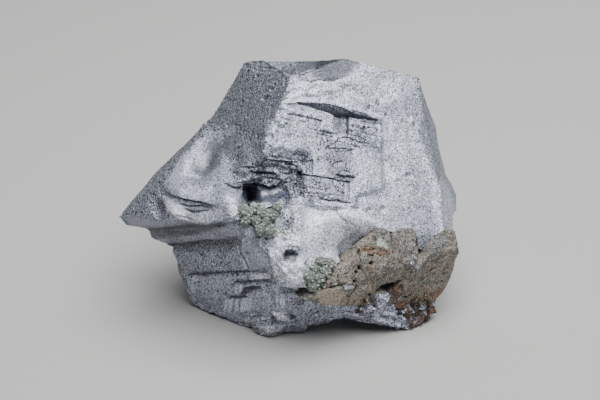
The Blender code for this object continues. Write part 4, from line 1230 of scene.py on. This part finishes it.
def paint_galena(skin, relief):
    """Paints how dull, smooth, tarnished and freshly broken the crystal is, together with painted shade and
    painted highlights.
    """
    normals = skin.normals()
    patchy = clouds(skin.spots, 6, 41) * 0.3
    # on the hidden faces: duller where they turn left, down or back, partly etched galena and partly
    # painted shade away from the light
    dull_and_shade = ease(-normals[:, 0] * 0.7 - normals[:, 2] * 0.5 + normals[:, 1] * 0.2 + patchy, 0.0, 0.7) * 0.8
    shown = 1 - relief.hidden()
    worn = ease(clouds(skin.spots, 3, 42), 0.1, 0.5) * 0.25
    values = {"dull_and_shade": dull_and_shade * (1 - shown), "smooth": np.zeros(len(dull_and_shade)), "tarnish_and_shade": worn * (1 - shown),
              "fresh_and_highlight": np.zeros(len(dull_and_shade))}
    wobble = clouds(skin.spots, 1.5, 43) * 0.5
    for name, value, soft, outline in TONES:
        reach = wobble * min(soft, 3) - outline_distance(relief.places, outline)
        weight = ease(reach, -soft / 2, soft / 2) * shown
        values[name] = values[name] * (1 - weight) + value * weight
    # painted highlights along the bright ridges
    values["fresh_and_highlight"] = np.maximum(values["fresh_and_highlight"], relief.gleam)
    for name, value in values.items():
        paint(skin.mesh, name, value)


class SPECIMEN_OT_galena(bpy.types.Operator):
    """Sculpt the lead-grey crystal from its faceted solid"""

    bl_idname = "specimen.galena"
    bl_label = "Galena Crystal"

    def execute(self, context):
        settings = context.scene.galena_settings
        crystal = fine_copy("galena_body", "galena_crystal", "SHARP", octree_depth=settings.octree_depth,
                            scale=0.99, use_remove_disconnected=True)
        skin = Skin(crystal.data)
        for face in FLAT_FACES:
            skin.melt(flatten(skin, *face), FLAT_ROUNDS)
            flatten(skin, *face)
        melt_faces(skin)
        skin.write()
        merge_close(crystal.data, MERGED)
        skin = Skin(crystal.data)
        relief = Relief(skin)
        refine(crystal, (outline_distance(relief.places, FINE_AREA) < 0) & (relief.shown > 0))
        skin = Skin(crystal.data)
        kept = sculpt_galena(skin)
        lighten(crystal, settings.triangles, kept)
        crystal.data.shade_smooth()
        crystal.data.set_sharp_from_angle(angle=SHARP_ANGLE)
        settle(crystal, "galena", galena_material(settings), "galena_crystal")
        return {"FINISHED"}


# ---------------------------------------------------------------- siderite
# Pores in the matrix: middle, half-lengths, turn in degrees, depth in mm, darkness of the painted shade at
# the middle.
PORES = [
    (358, 251, 1.8, 3.0, 20, -0.9, 1.0), (373.5, 249, 1.2, 1.2, 0, -0.6, 0.9),
    (372, 263, 1.7, 1.8, 0, -1.2, 1.0), (360.5, 268, 1.9, 2.8, -15, -1.1, 1.0),
    (356.5, 272.5, 1.6, 1.8, -40, -0.9, 0.9), (355, 281.5, 1.8, 1.8, 0, -0.9, 1.0),
    (339.8, 270, 1.1, 1.1, 0, -0.7, 1.0), (338.2, 276, 0.9, 3.6, 0, -0.7, 0.9),
    (338.4, 281.6, 1.0, 1.3, 0, -0.6, 0.9), (365.5, 302, 1.5, 1.5, 0, -0.8, 0.9),
    (362, 307, 1.8, 1.3, 0, -0.8, 0.9), (370, 295.6, 1.8, 1.3, 0, -0.8, 0.9),
    (406, 298, 1.8, 1.0, -40, -0.6, 0.9), (425, 295, 1.0, 1.0, 0, -0.5, 0.8),
    (386, 272, 1.0, 0.8, 0, -0.4, 0.7), (352, 266, 1.2, 0.8, 0, -0.4, 0.7),
    (414, 286, 1.2, 0.8, -30, -0.4, 0.7), (436, 283, 1.2, 0.8, -30, -0.4, 0.7),
    (347, 274, 1.0, 0.7, 0, -0.4, 0.7), (364, 250, 1.0, 0.8, 0, -0.4, 0.8),
    (381, 256, 1.2, 0.7, -20, -0.4, 0.6),
]
# Cracks in the matrix: width in pixels and the darkness of the painted shade in them, then the line, each
# point with its depth in mm.
MATRIX_CRACKS = [
    (1.0, 0.9, [(350, 297, 0.2), (354, 292, 0.3), (358, 287, 0.2)]),
    (0.9, 0.8, [(356, 302, 0.15), (361, 296, 0.2)]), (0.9, 0.7, [(442, 259, 0.15), (446, 255, 0.15)]),
    (1.0, 0.8, [(430, 271, 0.2), (436, 268, 0.2)]), (1.0, 1.0, [(407, 299, 0.2), (412, 295, 0.2)]),
    (1.4, 1.0, [(314, 286.4, 0.3), (322, 288, 0.4), (330, 288.4, 0.4), (338, 286.6, 0.3), (344, 285, 0.2)]),
    (1.2, 0.9, [(331, 259, 0.3), (337, 259.6, 0.3), (343, 260.6, 0.2)]),
    (1.0, 0.7, [(360, 254, 0.2), (361, 262, 0.2), (359, 268, 0.2)]),
    (1.0, 0.8, [(355, 282, 0.2), (357, 288, 0.2)]),
    (1.0, 0.8, [(394, 302, 0.2), (400, 297, 0.2), (404, 294, 0.15)]),
    (0.9, 0.6, [(418, 284, 0.15), (424, 278, 0.15)]), (0.9, 0.6, [(434, 262, 0.15), (440, 257, 0.15)]),
    (1.0, 0.7, [(444, 270, 0.2), (449, 265, 0.2)]), (1.0, 0.7, [(440, 276.5, 0.2), (443.5, 273, 0.2)]),
    (0.9, 0.6, [(345, 300, 0.1), (348, 296, 0.15)]), (0.9, 0.6, [(340, 304, 0.1), (344, 299, 0.15)]),
    (0.9, 0.6, [(352, 304, 0.1), (356, 300, 0.15)]), (0.9, 0.5, [(384, 306, 0.15), (390, 301, 0.15)]),
    (1.0, 0.7, [(391, 234, 0.3), (392, 240, 0.3), (390, 246, 0.2)]),
]
# The long cavity in the matrix, filled with painted shade, and its depth in mm.
MATRIX_CAVITY = [(376, 292), (382, 287), (388, 285), (392, 284), (396, 283), (401, 281), (399, 285),
    (396, 289), (392, 291), (388, 295), (391, 298), (388, 301), (386, 299), (388, 293), (383, 292)]
MATRIX_CAVITY_DEPTH = 2.0
MATRIX_SWELL = 0.12                         # mm that the matrix is fattened by before its relief
# Noise laid over the matrix: size in mm, seed and height in mm.
MATRIX_GRAINS = ((2.6, 31, 0.16), (0.8, 33, 0.12), (0.42, 34, 0.08))
MATRIX_LAYERS = ((1.1, 32, 0.1),)
LAYER_STRETCH = (0.35, 1.3, 1.0)            # across, down and out of the matrix's grain
CRACK_WAVES, STAIN_WAVES = (0.8, 0.9), (0.7, 2.2)       # ragged waves: length in mm, height in pixels
# The smooth tan patch.
TAN_PATCH = [(316, 290), (330, 288), (342, 286.6), (348, 293.6), (340, 308), (323, 309), (318, 300)]
# Colour patches in the matrix: name, strength, softness in pixels, outline.
STAINS = [
    ("tan", 1.0, 2.5, TAN_PATCH),
    ("tan", 0.35, 4, [(338, 289), (368, 284), (376, 292), (352, 310), (337, 309)]),
    ("tan", 0.3, 4, [(322, 272), (334, 262), (350, 258), (352, 280), (330, 282)]),
    ("rust", 0.95, 3, [(357, 247), (366, 245), (377, 247), (377, 252), (366, 253), (358, 253)]),
    ("rust", 0.9, 3, [(376, 252), (389, 248), (391, 251), (384, 256), (377, 256)]),
    ("rust", 0.8, 3, [(391, 290), (404, 280), (404, 288), (396, 298), (390, 298)]),
    ("rust", 0.8, 5, [(396, 304), (420, 296), (446, 284), (440, 306), (420, 326), (402, 322)]),
    ("rust", 0.6, 4, [(355, 304), (374, 296), (374, 312), (356, 311)]),
    ("rust", 0.45, 6, [(436, 236), (458, 236), (458, 262), (444, 282), (432, 276), (444, 256)]),
    ("tan", 0.2, 8, [(428, 258), (452, 244), (456, 276), (440, 292), (426, 290)]),
    ("rust", 0.3, 8, [(346, 252), (380, 256), (376, 284), (346, 284)]),
    ("grey", 0.7, 3, [(368, 229), (385, 230), (391, 235), (402, 228), (414, 229), (417, 262), (408, 268),
        (398, 244), (380, 236)]),
    ("grey", 1.0, 3, [(431, 240), (440, 232), (448, 234), (449, 242), (440, 256), (430, 260)]),
    ("grey", 0.8, 3, [(304, 289), (316, 289), (317, 304), (305, 302)]),
    ("mint", 1.0, 1.5, [(377.5, 240), (382, 239), (385.5, 243), (386, 247), (380, 248), (377.5, 244)]),
    ("mint", 0.6, 1.5, [(386, 243), (389, 243), (390, 247), (386, 247.6)]),
    ("mint", 0.7, 1.5, [(380, 287), (386, 286), (386, 290), (380, 291)]),
]


def siderite_material(settings):
    """Olive-brown granular matrix, rusty around its pores, with painted shade in its cracks, pores and
    cavity and painted glints.
    """
    graph = Graph("siderite")
    place = graph.place()
    rust, tan, grey = (graph.attribute(name) for name in ("rust", "tan", "grey"))
    mint, crack = graph.attribute("mint"), graph.attribute("crack")
    layered = graph.along(MATRIX_GRAIN, place, (0.45, 1.5, 1.2))
    turned = graph.along(CUBE, place, (1, 1, 1))
    streaks = graph.noise(layered, 0.9, 4.0, 0.65)
    patches = graph.noise(place, 1.6, 4.0, 0.7)
    grains = graph.noise(place, 0.26, 3.0, 0.85)
    colour = graph.mix(patches.rise(0.4, 0.6), settings.olive, settings.brown)
    ruddy = graph.noise(place, 2.1, 4.0, 0.7).rise(0.5, 0.6)
    colour = graph.mix(ruddy * 0.45, colour, (0.19, 0.125, 0.08))
    shaded = graph.noise(graph.along(MATRIX_GRAIN, place, (0.6, 1.4, 1.0)), 1.5, 4.0, 0.7).rise(0.48, 0.36)
    colour = graph.mix(shaded * 0.45, colour, (0.075, 0.066, 0.055))
    colour = graph.mix(grey * 0.8, colour, (0.15, 0.155, 0.16))
    colour = graph.mix(graph.noise(place, 4.0, 2.0).rise(0.5, 0.62) * 0.45, colour, (0.25, 0.235, 0.205))
    colour = graph.mix(tan * 0.85, colour, settings.pale)
    stain = (rust * 0.8 + graph.noise(place, 0.7, 4.0, 0.75) - 0.9).rise(0.0, 0.25)
    colour = graph.mix(stain * 0.8, colour, settings.rust)
    sparks = graph.pits(place, 0.38, 0.46, rust * 0.3 + patches * 0.2)
    colour = graph.mix(sparks * 0.7, colour, (0.40, 0.17, 0.06))
    colour = graph.mix(mint, colour, (0.42, 0.5, 0.42))
    colour = graph.mix(streaks.rise(0.45, 0.3) * (0.5 - tan * 0.1), colour, (0.06, 0.05, 0.04))
    colour = graph.mix(graph.pits(layered, 0.46, 0.5, 0.5 - tan * 0.25) * 0.9, colour,
                       (0.022, 0.018, 0.014))
    # painted glints on the matrix's grains
    colour = graph.mix(graph.pits(turned, 0.32, 0.44, 0.24) * 0.7, colour, (0.52, 0.5, 0.44))
    # painted shade in the cracks, pores and cavity
    colour = graph.mix(crack * 0.92, colour, (0.016, 0.013, 0.01))
    colour = graph.shade(colour, 1 + (grains.rise(0.35, 0.65) - 0.5) * (1.9 - tan * 0.7))
    relief = graph.bump(streaks, 0.2, None, 0.8)
    relief = graph.bump(patches, 0.3, relief, 0.8)
    relief = graph.bump(grains, 0.12, relief, 1.0)
    return graph.finish({"Base Color": colour, "Roughness": grains * 0.3 + 0.5, "Normal": relief})


def sculpt_siderite(skin):
    """Lays granular, porous relief over the matrix; returns how much painted shade each vertex gets in its
    cracks, pores and cavity.
    """
    normals = skin.normals()
    skin.move(normals, np.full(len(normals), MATRIX_SWELL))
    relief = Relief(skin)
    layered = MATRIX_GRAIN.spread(skin.spots) * LAYER_STRETCH
    height = rough(skin.spots, MATRIX_GRAINS) + rough(layered, MATRIX_LAYERS)
    relief.add(normals, height * (1 - 0.75 * relief.inside(TAN_PATCH, 3)) - 0.08)
    for pore in PORES:
        relief.swell(normals, *pore)
    relief.fray(*CRACK_WAVES)
    for width, darkness, line in MATRIX_CRACKS:
        relief.slot(normals, width, darkness, line)
    cavity = ease(-outline_distance(relief.ragged, MATRIX_CAVITY), -0.8, 0.8) * relief.shown
    relief.add(normals, -MATRIX_CAVITY_DEPTH * cavity)
    relief.apply()
    skin.keep_inside()
    return np.maximum(relief.crack, cavity)


class SPECIMEN_OT_siderite(bpy.types.Operator):
    """Make the porous brown matrix"""

    bl_idname = "specimen.siderite"
    bl_label = "Siderite Matrix"

    def execute(self, context):
        settings = context.scene.siderite_settings
        matrix = fine_copy("siderite_body", "siderite_matrix", "VOXEL", voxel_size=settings.cell)
        skin = Skin(matrix.data)
        values = {name: np.zeros(len(skin.spots)) for name in ("rust", "tan", "grey", "mint")}
        values["crack"] = sculpt_siderite(skin)
        skin.write()
        relief = Relief(skin)
        relief.fray(*STAIN_WAVES)
        for name, strength, soft, outline in STAINS:
            values[name] = np.maximum(values[name], strength * relief.inside(outline, soft))
        for name, value in values.items():
            paint(matrix.data, name, value)
        matrix.data.shade_smooth()
        settle(matrix, "siderite", siderite_material(settings), "siderite_matrix")
        return {"FINISHED"}


# ---------------------------------------------------------------- broken blocks and lumps
# Broken cleavage blocks at the matrix: pixel, size in mm across, down and out, and turns in degrees.
BLOCKS = [
    (381, 296, (2.9, 1.8, 1.2), (20, -15, 25)), (379, 303, (1.4, 1.2, 0.9), (45, 0, 45)),
    (374.5, 311, (1.2, 1.6, 1.0), (10, 30, 10)), (386, 313.5, (1.7, 0.9, 1.0), (5, 5, -5)),
    (354, 312.5, (2.4, 0.9, 0.8), (0, 0, 10)), (348, 286.6, (1.8, 0.9, 0.5), (0, 0, -20)),
    (376, 318, (1.6, 0.9, 0.9), (0, 10, 15)), (383, 320, (1.3, 1.0, 0.9), (10, -10, 12)),
    (390, 322, (1.5, 1.1, 0.9), (-5, 12, 15)), (397, 324, (1.2, 1.0, 0.8), (5, -8, 20)),
    (404, 326, (1.4, 0.9, 0.8), (0, 15, 10)), (410, 327, (1.0, 0.8, 0.8), (15, 0, 15)),
    (421, 305, (1.0, 1.6, 0.8), (30, 20, 0)), (424, 312, (0.9, 1.1, 0.8), (10, 40, 10)),
    (402, 309, (1.5, 0.9, 0.8), (-20, 10, 30)), (414.5, 257, (0.8, 0.8, 0.5), (15, 25, 0)),
    (417, 267, (0.7, 0.6, 0.5), (35, 5, 30)), (412, 263, (0.5, 0.7, 0.4), (5, 35, 15)),
    (367, 313, (1.2, 0.7, 0.6), (5, 0, 25)), (361, 316, (1.4, 0.6, 0.5), (0, 10, 5)),
]
BLOCK_AREA = [(362, 309), (378, 304), (412, 312), (418, 322), (410, 330), (384, 325), (364, 316)]
SMALL_BLOCKS, SMALL_BLOCK_SIZE = 60, (0.3, 0.75)
BLOCK_SINK, LUMP_SINK = 0.22, 0.5       # shares of their size that blocks and lumps are pushed in
BLOCK_SEED, LUMP_SEED, GRAIN_SEED = 7, 11, 3
BLOCK_BEVEL = 0.04                      # mm
LUMP_RELIEF = ((0.4, 51, 0.55), (0.18, 52, 0.3))    # noise over a lump: size in mm, seed and share
# Rusty lumps at the matrix's foot: how many, least and greatest radius in mm, outline.
LUMPS = [
    (130, 0.2, 0.5, [(394, 304), (412, 299), (432, 296), (432, 310), (424, 326), (412, 328), (406, 318),
        (396, 313)]),
    (18, 0.14, 0.3, [(388, 292), (404, 281), (403, 290), (392, 300)]),
    (22, 0.18, 0.4, [(356, 300), (372, 294), (376, 310), (360, 313)]),
    (26, 0.12, 0.26, [(357, 246), (376, 246), (390, 250), (378, 256), (358, 254)]),
]


class Aim:
    """Finds where picture pixels meet finished pieces."""

    def __init__(self, *names):
        graph = bpy.context.evaluated_depsgraph_get()
        self.trees = [BVHTree.FromObject(bpy.data.objects[name], graph) for name in names]

    def hit(self, pixel):
        """The nearest point that shows at a pixel, in metres, or None."""
        start, way = Vector((EYE - FRAME_SHIFT) * MM), Vector(sight(pixel))
        hits = [hit for hit in (tree.ray_cast(start, way) for tree in self.trees) if hit[0] is not None]
        return min(hits, key=lambda hit: hit[3])[0] if hits else None


def scatter(rng, outline, count):
    """Random picture pixels inside an outline."""
    low, high = np.min(outline, axis=0), np.max(outline, axis=0)
    pixels = []
    while len(pixels) < count:
        pixel = [rng.uniform(low[i], high[i]) for i in (0, 1)]
        if outline_distance(np.array([pixel]), outline)[0] < 0:
            pixels.append(pixel)
    return pixels


def finished_piece(name, builder):
    """A new object from a finished bmesh."""
    mesh = bpy.data.meshes.new(name)
    builder.to_mesh(mesh)
    builder.free()
    skin = Skin(mesh)
    skin.keep_inside()
    skin.write()
    return link(name, mesh)


def build_blocks(aim):
    """Cleavage blocks half sunk in the specimen, as one mesh."""
    rng = Random(BLOCK_SEED)
    builder = bmesh.new()
    blocks = list(BLOCKS)
    for pixel in scatter(rng, BLOCK_AREA, SMALL_BLOCKS):
        size = rng.uniform(*SMALL_BLOCK_SIZE)
        blocks.append((*pixel, (size * rng.uniform(0.8, 1.8), size, size * 0.8),
                       [rng.uniform(-25, 25) for _ in range(3)]))
    axes = Matrix((CUBE.across, CUBE.down, CUBE.out)).transposed().to_4x4()
    for x, y, size, turns in blocks:
        spot = aim.hit((x, y))
        if spot is None:
            continue
        turn = Euler([radians(angle) for angle in turns]).to_matrix().to_4x4()
        spot -= Vector(TOWARD) * size[2] * BLOCK_SINK * MM
        sizes = Matrix.Diagonal((size[0] * MM, size[1] * MM, size[2] * MM, 1))
        bmesh.ops.create_cube(builder, size=1.0, matrix=Matrix.Translation(spot) @ axes @ turn @ sizes)
    bmesh.ops.bevel(builder, geom=builder.edges[:], offset=BLOCK_BEVEL * MM, segments=1, affect="EDGES")
    piece = finished_piece("galena_blocks", builder)
    spots = np.array([vertex.co for vertex in piece.data.vertices]) / MM
    paint(piece.data, "dull_and_shade", ease(clouds(spots, 1.6, 55), -0.3, 0.5) * 0.7)
    paint(piece.data, "tarnish_and_shade", ease(clouds(spots, 1.1, 56), 0.0, 0.6) * 0.5)
    paint(piece.data, "fresh_and_highlight", ease(clouds(spots, 1.3, 57), -0.2, 0.4) * 0.6)
    return piece


def build_lumps(aim):
    """Rough rusty lumps, as one mesh."""
    rng = Random(LUMP_SEED)
    builder = bmesh.new()
    for count, least, most, outline in LUMPS:
        for pixel in scatter(rng, outline, count):
            spot = aim.hit(pixel)
            if spot is None:
                continue
            size = rng.uniform(least, most) * MM
            stretch = Matrix.Diagonal([rng.uniform(0.6, 1.6) for _ in range(3)] + [1])
            made = bmesh.ops.create_icosphere(
                builder, subdivisions=3, radius=size,
                matrix=Matrix.Translation(spot - Vector(TOWARD) * size * LUMP_SINK) @ stretch)
            spots = np.array([vertex.co for vertex in made["verts"]]) / MM
            for vertex, amount in zip(made["verts"], 1 + rough(spots, LUMP_RELIEF)):
                vertex.co = spot + (vertex.co - spot) * amount
    piece = finished_piece("siderite_lumps", builder)
    spots = np.array([vertex.co for vertex in piece.data.vertices]) / MM
    paint(piece.data, "rust", ease(clouds(spots, 1.4, 53), -0.5, 0.3))
    # the lumps darkened all over: partly their own dark brown, partly painted shade
    paint(piece.data, "crack", 0.35 + 0.6 * ease(clouds(spots, 0.9, 54), -0.3, 0.4))
    piece.data.shade_smooth()
    return piece


class SPECIMEN_OT_fragments(bpy.types.Operator):
    """Set the broken cleavage blocks and the rusty lumps at the matrix"""

    bl_idname = "specimen.fragments"
    bl_label = "Fragments"

    def execute(self, context):
        aim = Aim("galena_body", "siderite_body")
        settle(build_blocks(aim), "galena", bpy.data.objects["galena_body"].active_material)
        settle(build_lumps(aim), "siderite", bpy.data.objects["siderite_body"].active_material)
        return {"FINISHED"}


# ---------------------------------------------------------------- green crusts
# Single green grains on the crystal: pixel and radius in mm.
GRAINS = [
    (247, 206.4, 0.36), (250.4, 205.4, 0.36), (254, 205, 0.36), (257.6, 205.4, 0.36), (261, 206, 0.34),
    (284, 95, 0.34), (285.6, 97.6, 0.24), (277.6, 122, 0.4), (279, 124.4, 0.24), (256.6, 137, 0.2),
    (294, 204, 0.2), (276, 231, 0.3), (279, 233, 0.28), (281, 230, 0.24), (277, 235, 0.3), (283, 236, 0.3),
    (286, 234, 0.33), (289, 233, 0.26), (291, 236, 0.25), (286, 237.6, 0.22), (325, 232, 0.15),
    (324, 238, 0.16), (323, 243, 0.15), (305, 286, 0.3), (308, 288, 0.28), (311, 289.6, 0.25),
    (315, 288, 0.3), (319, 288, 0.28), (324, 287.4, 0.22), (328, 287.8, 0.2), (307, 283, 0.3),
    (303.6, 282, 0.24), (313, 291, 0.22), (300, 284, 0.18), (272, 216, 0.2), (283, 204, 0.22),
    (284.6, 209, 0.18), (238, 212, 0.2), (281, 226, 0.22), (336, 284, 0.2), (367, 300, 0.22),
    (369, 303, 0.18),
]
GRAINS_EACH, GRAIN_SIZES = 4, (0.5, 0.9)        # grains in a cluster, their sizes in its radii
BEAD_TRIES = 9000
BEAD_SIZES = (0.55, 0.7, 0.85, 1.0, 1.15)       # shares of the beads' usual radius
BEAD_SPACING = 0.8                              # how far apart beads lie, in sums of their radii
BEAD_SUNK = (-0.9, 0.25)                        # how far out of the crust their middles lie, in usual radii
BEAD_START = 20                                 # mm out of the crust that their places are sought from
GRAIN_SPREAD = 4                                # how far a cluster's grains lie apart, in their radii


def crust_material(settings):
    """Pale green drusy crust, with painted shade down between its beads."""
    graph = Graph("green_crust")
    place = graph.place()
    depth = graph.attribute("depth")
    tone = graph.noise(place, 1.2, 3.0)
    colour = graph.mix(tone.rise(0.35, 0.65), settings.colour, [part * 0.72 for part in settings.colour])
    colour = graph.mix(graph.noise(place, 0.5, 2.0).rise(0.5, 0.7) * 0.5, colour, (0.5, 0.53, 0.47))
    colour = graph.mix(depth, colour, settings.shade)
    relief = graph.bump(graph.noise(place, 0.16, 3.0), 0.06)
    return graph.finish({"Base Color": colour, "Roughness": 0.5, "Normal": relief})


def bead_crust(name, node, settings, seed):
    """Many small crystal beads over the crust's own solid, as one mesh."""
    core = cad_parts[node]
    tree = BVHTree.FromObject(core, bpy.context.evaluated_depsgraph_get())
    low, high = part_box(node)
    rng = Random(seed)
    builder = bmesh.new()
    builder.from_mesh(core.data)
    toward = Vector(CUBE.out)
    radius = settings.grain
    beads = []
    for _ in range(BEAD_TRIES):
        start = Vector([rng.uniform(low[i], high[i]) for i in range(3)]) + toward * (BEAD_START * MM)
        spot, normal, _, _ = tree.ray_cast(start, -toward)
        if spot is None:
            continue
        size = radius * rng.choice(BEAD_SIZES)
        middle = spot + normal * radius * rng.uniform(*BEAD_SUNK)
        if all((middle - other).length > (size + other_size) * BEAD_SPACING for other, other_size in beads):
            beads.append((middle, size))
    for spot, size in beads:
        turn = Matrix.Rotation(rng.uniform(0, 2 * pi), 4, Vector((rng.random(), rng.random(), 1)))
        stretch = Matrix.Diagonal((rng.uniform(0.8, 1.1), rng.uniform(0.8, 1.1), 1, 1))
        bmesh.ops.create_icosphere(builder, subdivisions=2 if size > radius * 0.8 else 1, radius=size,
                                   matrix=Matrix.Translation(spot) @ turn @ stretch)
    crust = finished_piece(name, builder)
    # painted shade down between the beads, by how deep each vertex lies in the crust
    depths = []
    for vertex in crust.data.vertices:
        nearest, normal, _, _ = tree.find_nearest(vertex.co)
        outside = (vertex.co - nearest).dot(normal)
        depths.append(1 - min(max((outside + radius * 0.2) / (radius * 0.9), 0), 1))
    paint(crust.data, "depth", depths)
    crust.data.shade_smooth()
    return crust


def single_grains():
    """Small clusters of green beads on the crystal, as one mesh."""
    aim = Aim("galena_body", "siderite_body")
    rng = Random(GRAIN_SEED)
    builder = bmesh.new()
    for x, y, size in GRAINS:
        for _ in range(GRAINS_EACH):
            spot = aim.hit([middle + rng.uniform(-GRAIN_SPREAD, GRAIN_SPREAD) * size for middle in (x, y)])
            if spot is not None:
                radius = size * rng.uniform(*GRAIN_SIZES) * MM
                bmesh.ops.create_icosphere(builder, subdivisions=2, radius=radius,
                                           matrix=Matrix.Translation(spot))
    grains = finished_piece("crust_grains", builder)
    grains.data.shade_smooth()
    return grains


class SPECIMEN_OT_crusts(bpy.types.Operator):
    """Make the two drusy green crusts"""

    bl_idname = "specimen.crusts"
    bl_label = "Green Crusts"

    def execute(self, context):
        settings = context.scene.crust_settings
        material = crust_material(settings)
        for seed, side in enumerate(("left", "right")):
            crust = bead_crust(f"crust_{side}", f"green_crust_{side}", settings, seed)
            settle(crust, "green_crust", material, f"green_crust_{side}")
        settle(single_grains(), "green_crust", material)
        return {"FINISHED"}


# ---------------------------------------------------------------- stage
SOFTBOX_AT, SOFTBOX_AIM = (0.075, -0.02, 0.42), (0, 0, 0.02)      # metres
SOFTBOX_SIZE = (0.50, 0.42)                                     # metres
SOFTBOX_WATTS = 5.2                                             # at a power setting of 1
ROOM_COLOUR = (0.9, 0.93, 1, 1)
FLOOR_SIZE = 6.0                                                # metres


def add_softbox(power):
    """The large soft light overhead."""
    light = bpy.data.lights.new("softbox_overhead", "AREA")
    light.shape = "RECTANGLE"
    light.size, light.size_y = SOFTBOX_SIZE
    light.energy = power * SOFTBOX_WATTS
    lamp = link("softbox_overhead", light)
    lamp.location = SOFTBOX_AT
    lamp.rotation_euler = (Vector(SOFTBOX_AIM) - Vector(SOFTBOX_AT)).to_track_quat("-Z", "Y").to_euler()


def add_room(strength):
    """The dim light from all around."""
    world = bpy.data.worlds.new("dim_room")
    world.use_nodes = True
    background = world.node_tree.nodes["Background"]
    background.inputs["Color"].default_value = ROOM_COLOUR
    background.inputs["Strength"].default_value = strength
    bpy.context.scene.world = world


def add_camera():
    """The camera at the show view's eye."""
    camera = bpy.data.cameras.new("camera")
    camera.lens = LENS
    camera.sensor_width = SENSOR
    camera.clip_start = 0.01
    eye = link("camera", camera)
    eye.location = (EYE - FRAME_SHIFT) * MM
    eye.rotation_euler = (pi / 2 - TILT, 0, 0)
    bpy.context.scene.camera = eye


class SPECIMEN_OT_stage(bpy.types.Operator):
    """Set the pale floor, the soft light and the camera"""

    bl_idname = "specimen.stage"
    bl_label = "Stage"

    def execute(self, context):
        settings = context.scene.stage_settings
        bpy.ops.mesh.primitive_plane_add(size=FLOOR_SIZE)
        floor = context.object
        floor.name = "floor"
        graph = Graph("floor")
        floor.data.materials.append(graph.finish(
            {"Base Color": (*settings.floor_colour, 1), "Roughness": 0.9}))
        add_softbox(settings.key_power)
        add_room(settings.world_strength)
        add_camera()
        return {"FINISHED"}


# ---------------------------------------------------------------- panel and registration
OPERATORS = (SPECIMEN_OT_galena, SPECIMEN_OT_siderite, SPECIMEN_OT_fragments, SPECIMEN_OT_crusts,
             SPECIMEN_OT_stage)
SETTINGS = {
    "galena_settings": GalenaSettings,
    "siderite_settings": SideriteSettings,
    "crust_settings": CrustSettings,
    "stage_settings": StageSettings,
}


class SPECIMEN_PT_panel(bpy.types.Panel):
    """Lists the specimen's settings and the operators that make it"""

    bl_idname = "SPECIMEN_PT_panel"
    bl_label = "Galena Specimen"
    bl_space_type = "VIEW_3D"
    bl_region_type = "UI"
    bl_category = "Galena"

    def draw(self, context):
        for name, group in SETTINGS.items():
            box = self.layout.box()
            box.label(text=name.replace("_", " ").capitalize())
            for field in group.__annotations__:
                box.prop(getattr(context.scene, name), field)
        for operator in OPERATORS:
            self.layout.operator(operator.bl_idname)


def register():
    for group in SETTINGS.values():
        bpy.utils.register_class(group)
    for operator in OPERATORS:
        bpy.utils.register_class(operator)
    bpy.utils.register_class(SPECIMEN_PT_panel)
    for name, group in SETTINGS.items():
        setattr(bpy.types.Scene, name, bpy.props.PointerProperty(type=group))


def unregister():
    for name in SETTINGS:
        delattr(bpy.types.Scene, name)
    bpy.utils.unregister_class(SPECIMEN_PT_panel)
    for operator in reversed(OPERATORS):
        bpy.utils.unregister_class(operator)
    for group in SETTINGS.values():
        bpy.utils.unregister_class(group)


def main():
    """Registers the add-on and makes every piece."""
    register()
    bpy.ops.specimen.galena()
    bpy.ops.specimen.siderite()
    bpy.ops.specimen.fragments()
    bpy.ops.specimen.crusts()
    bpy.ops.specimen.stage()


if __name__ == "__main__":
    main()
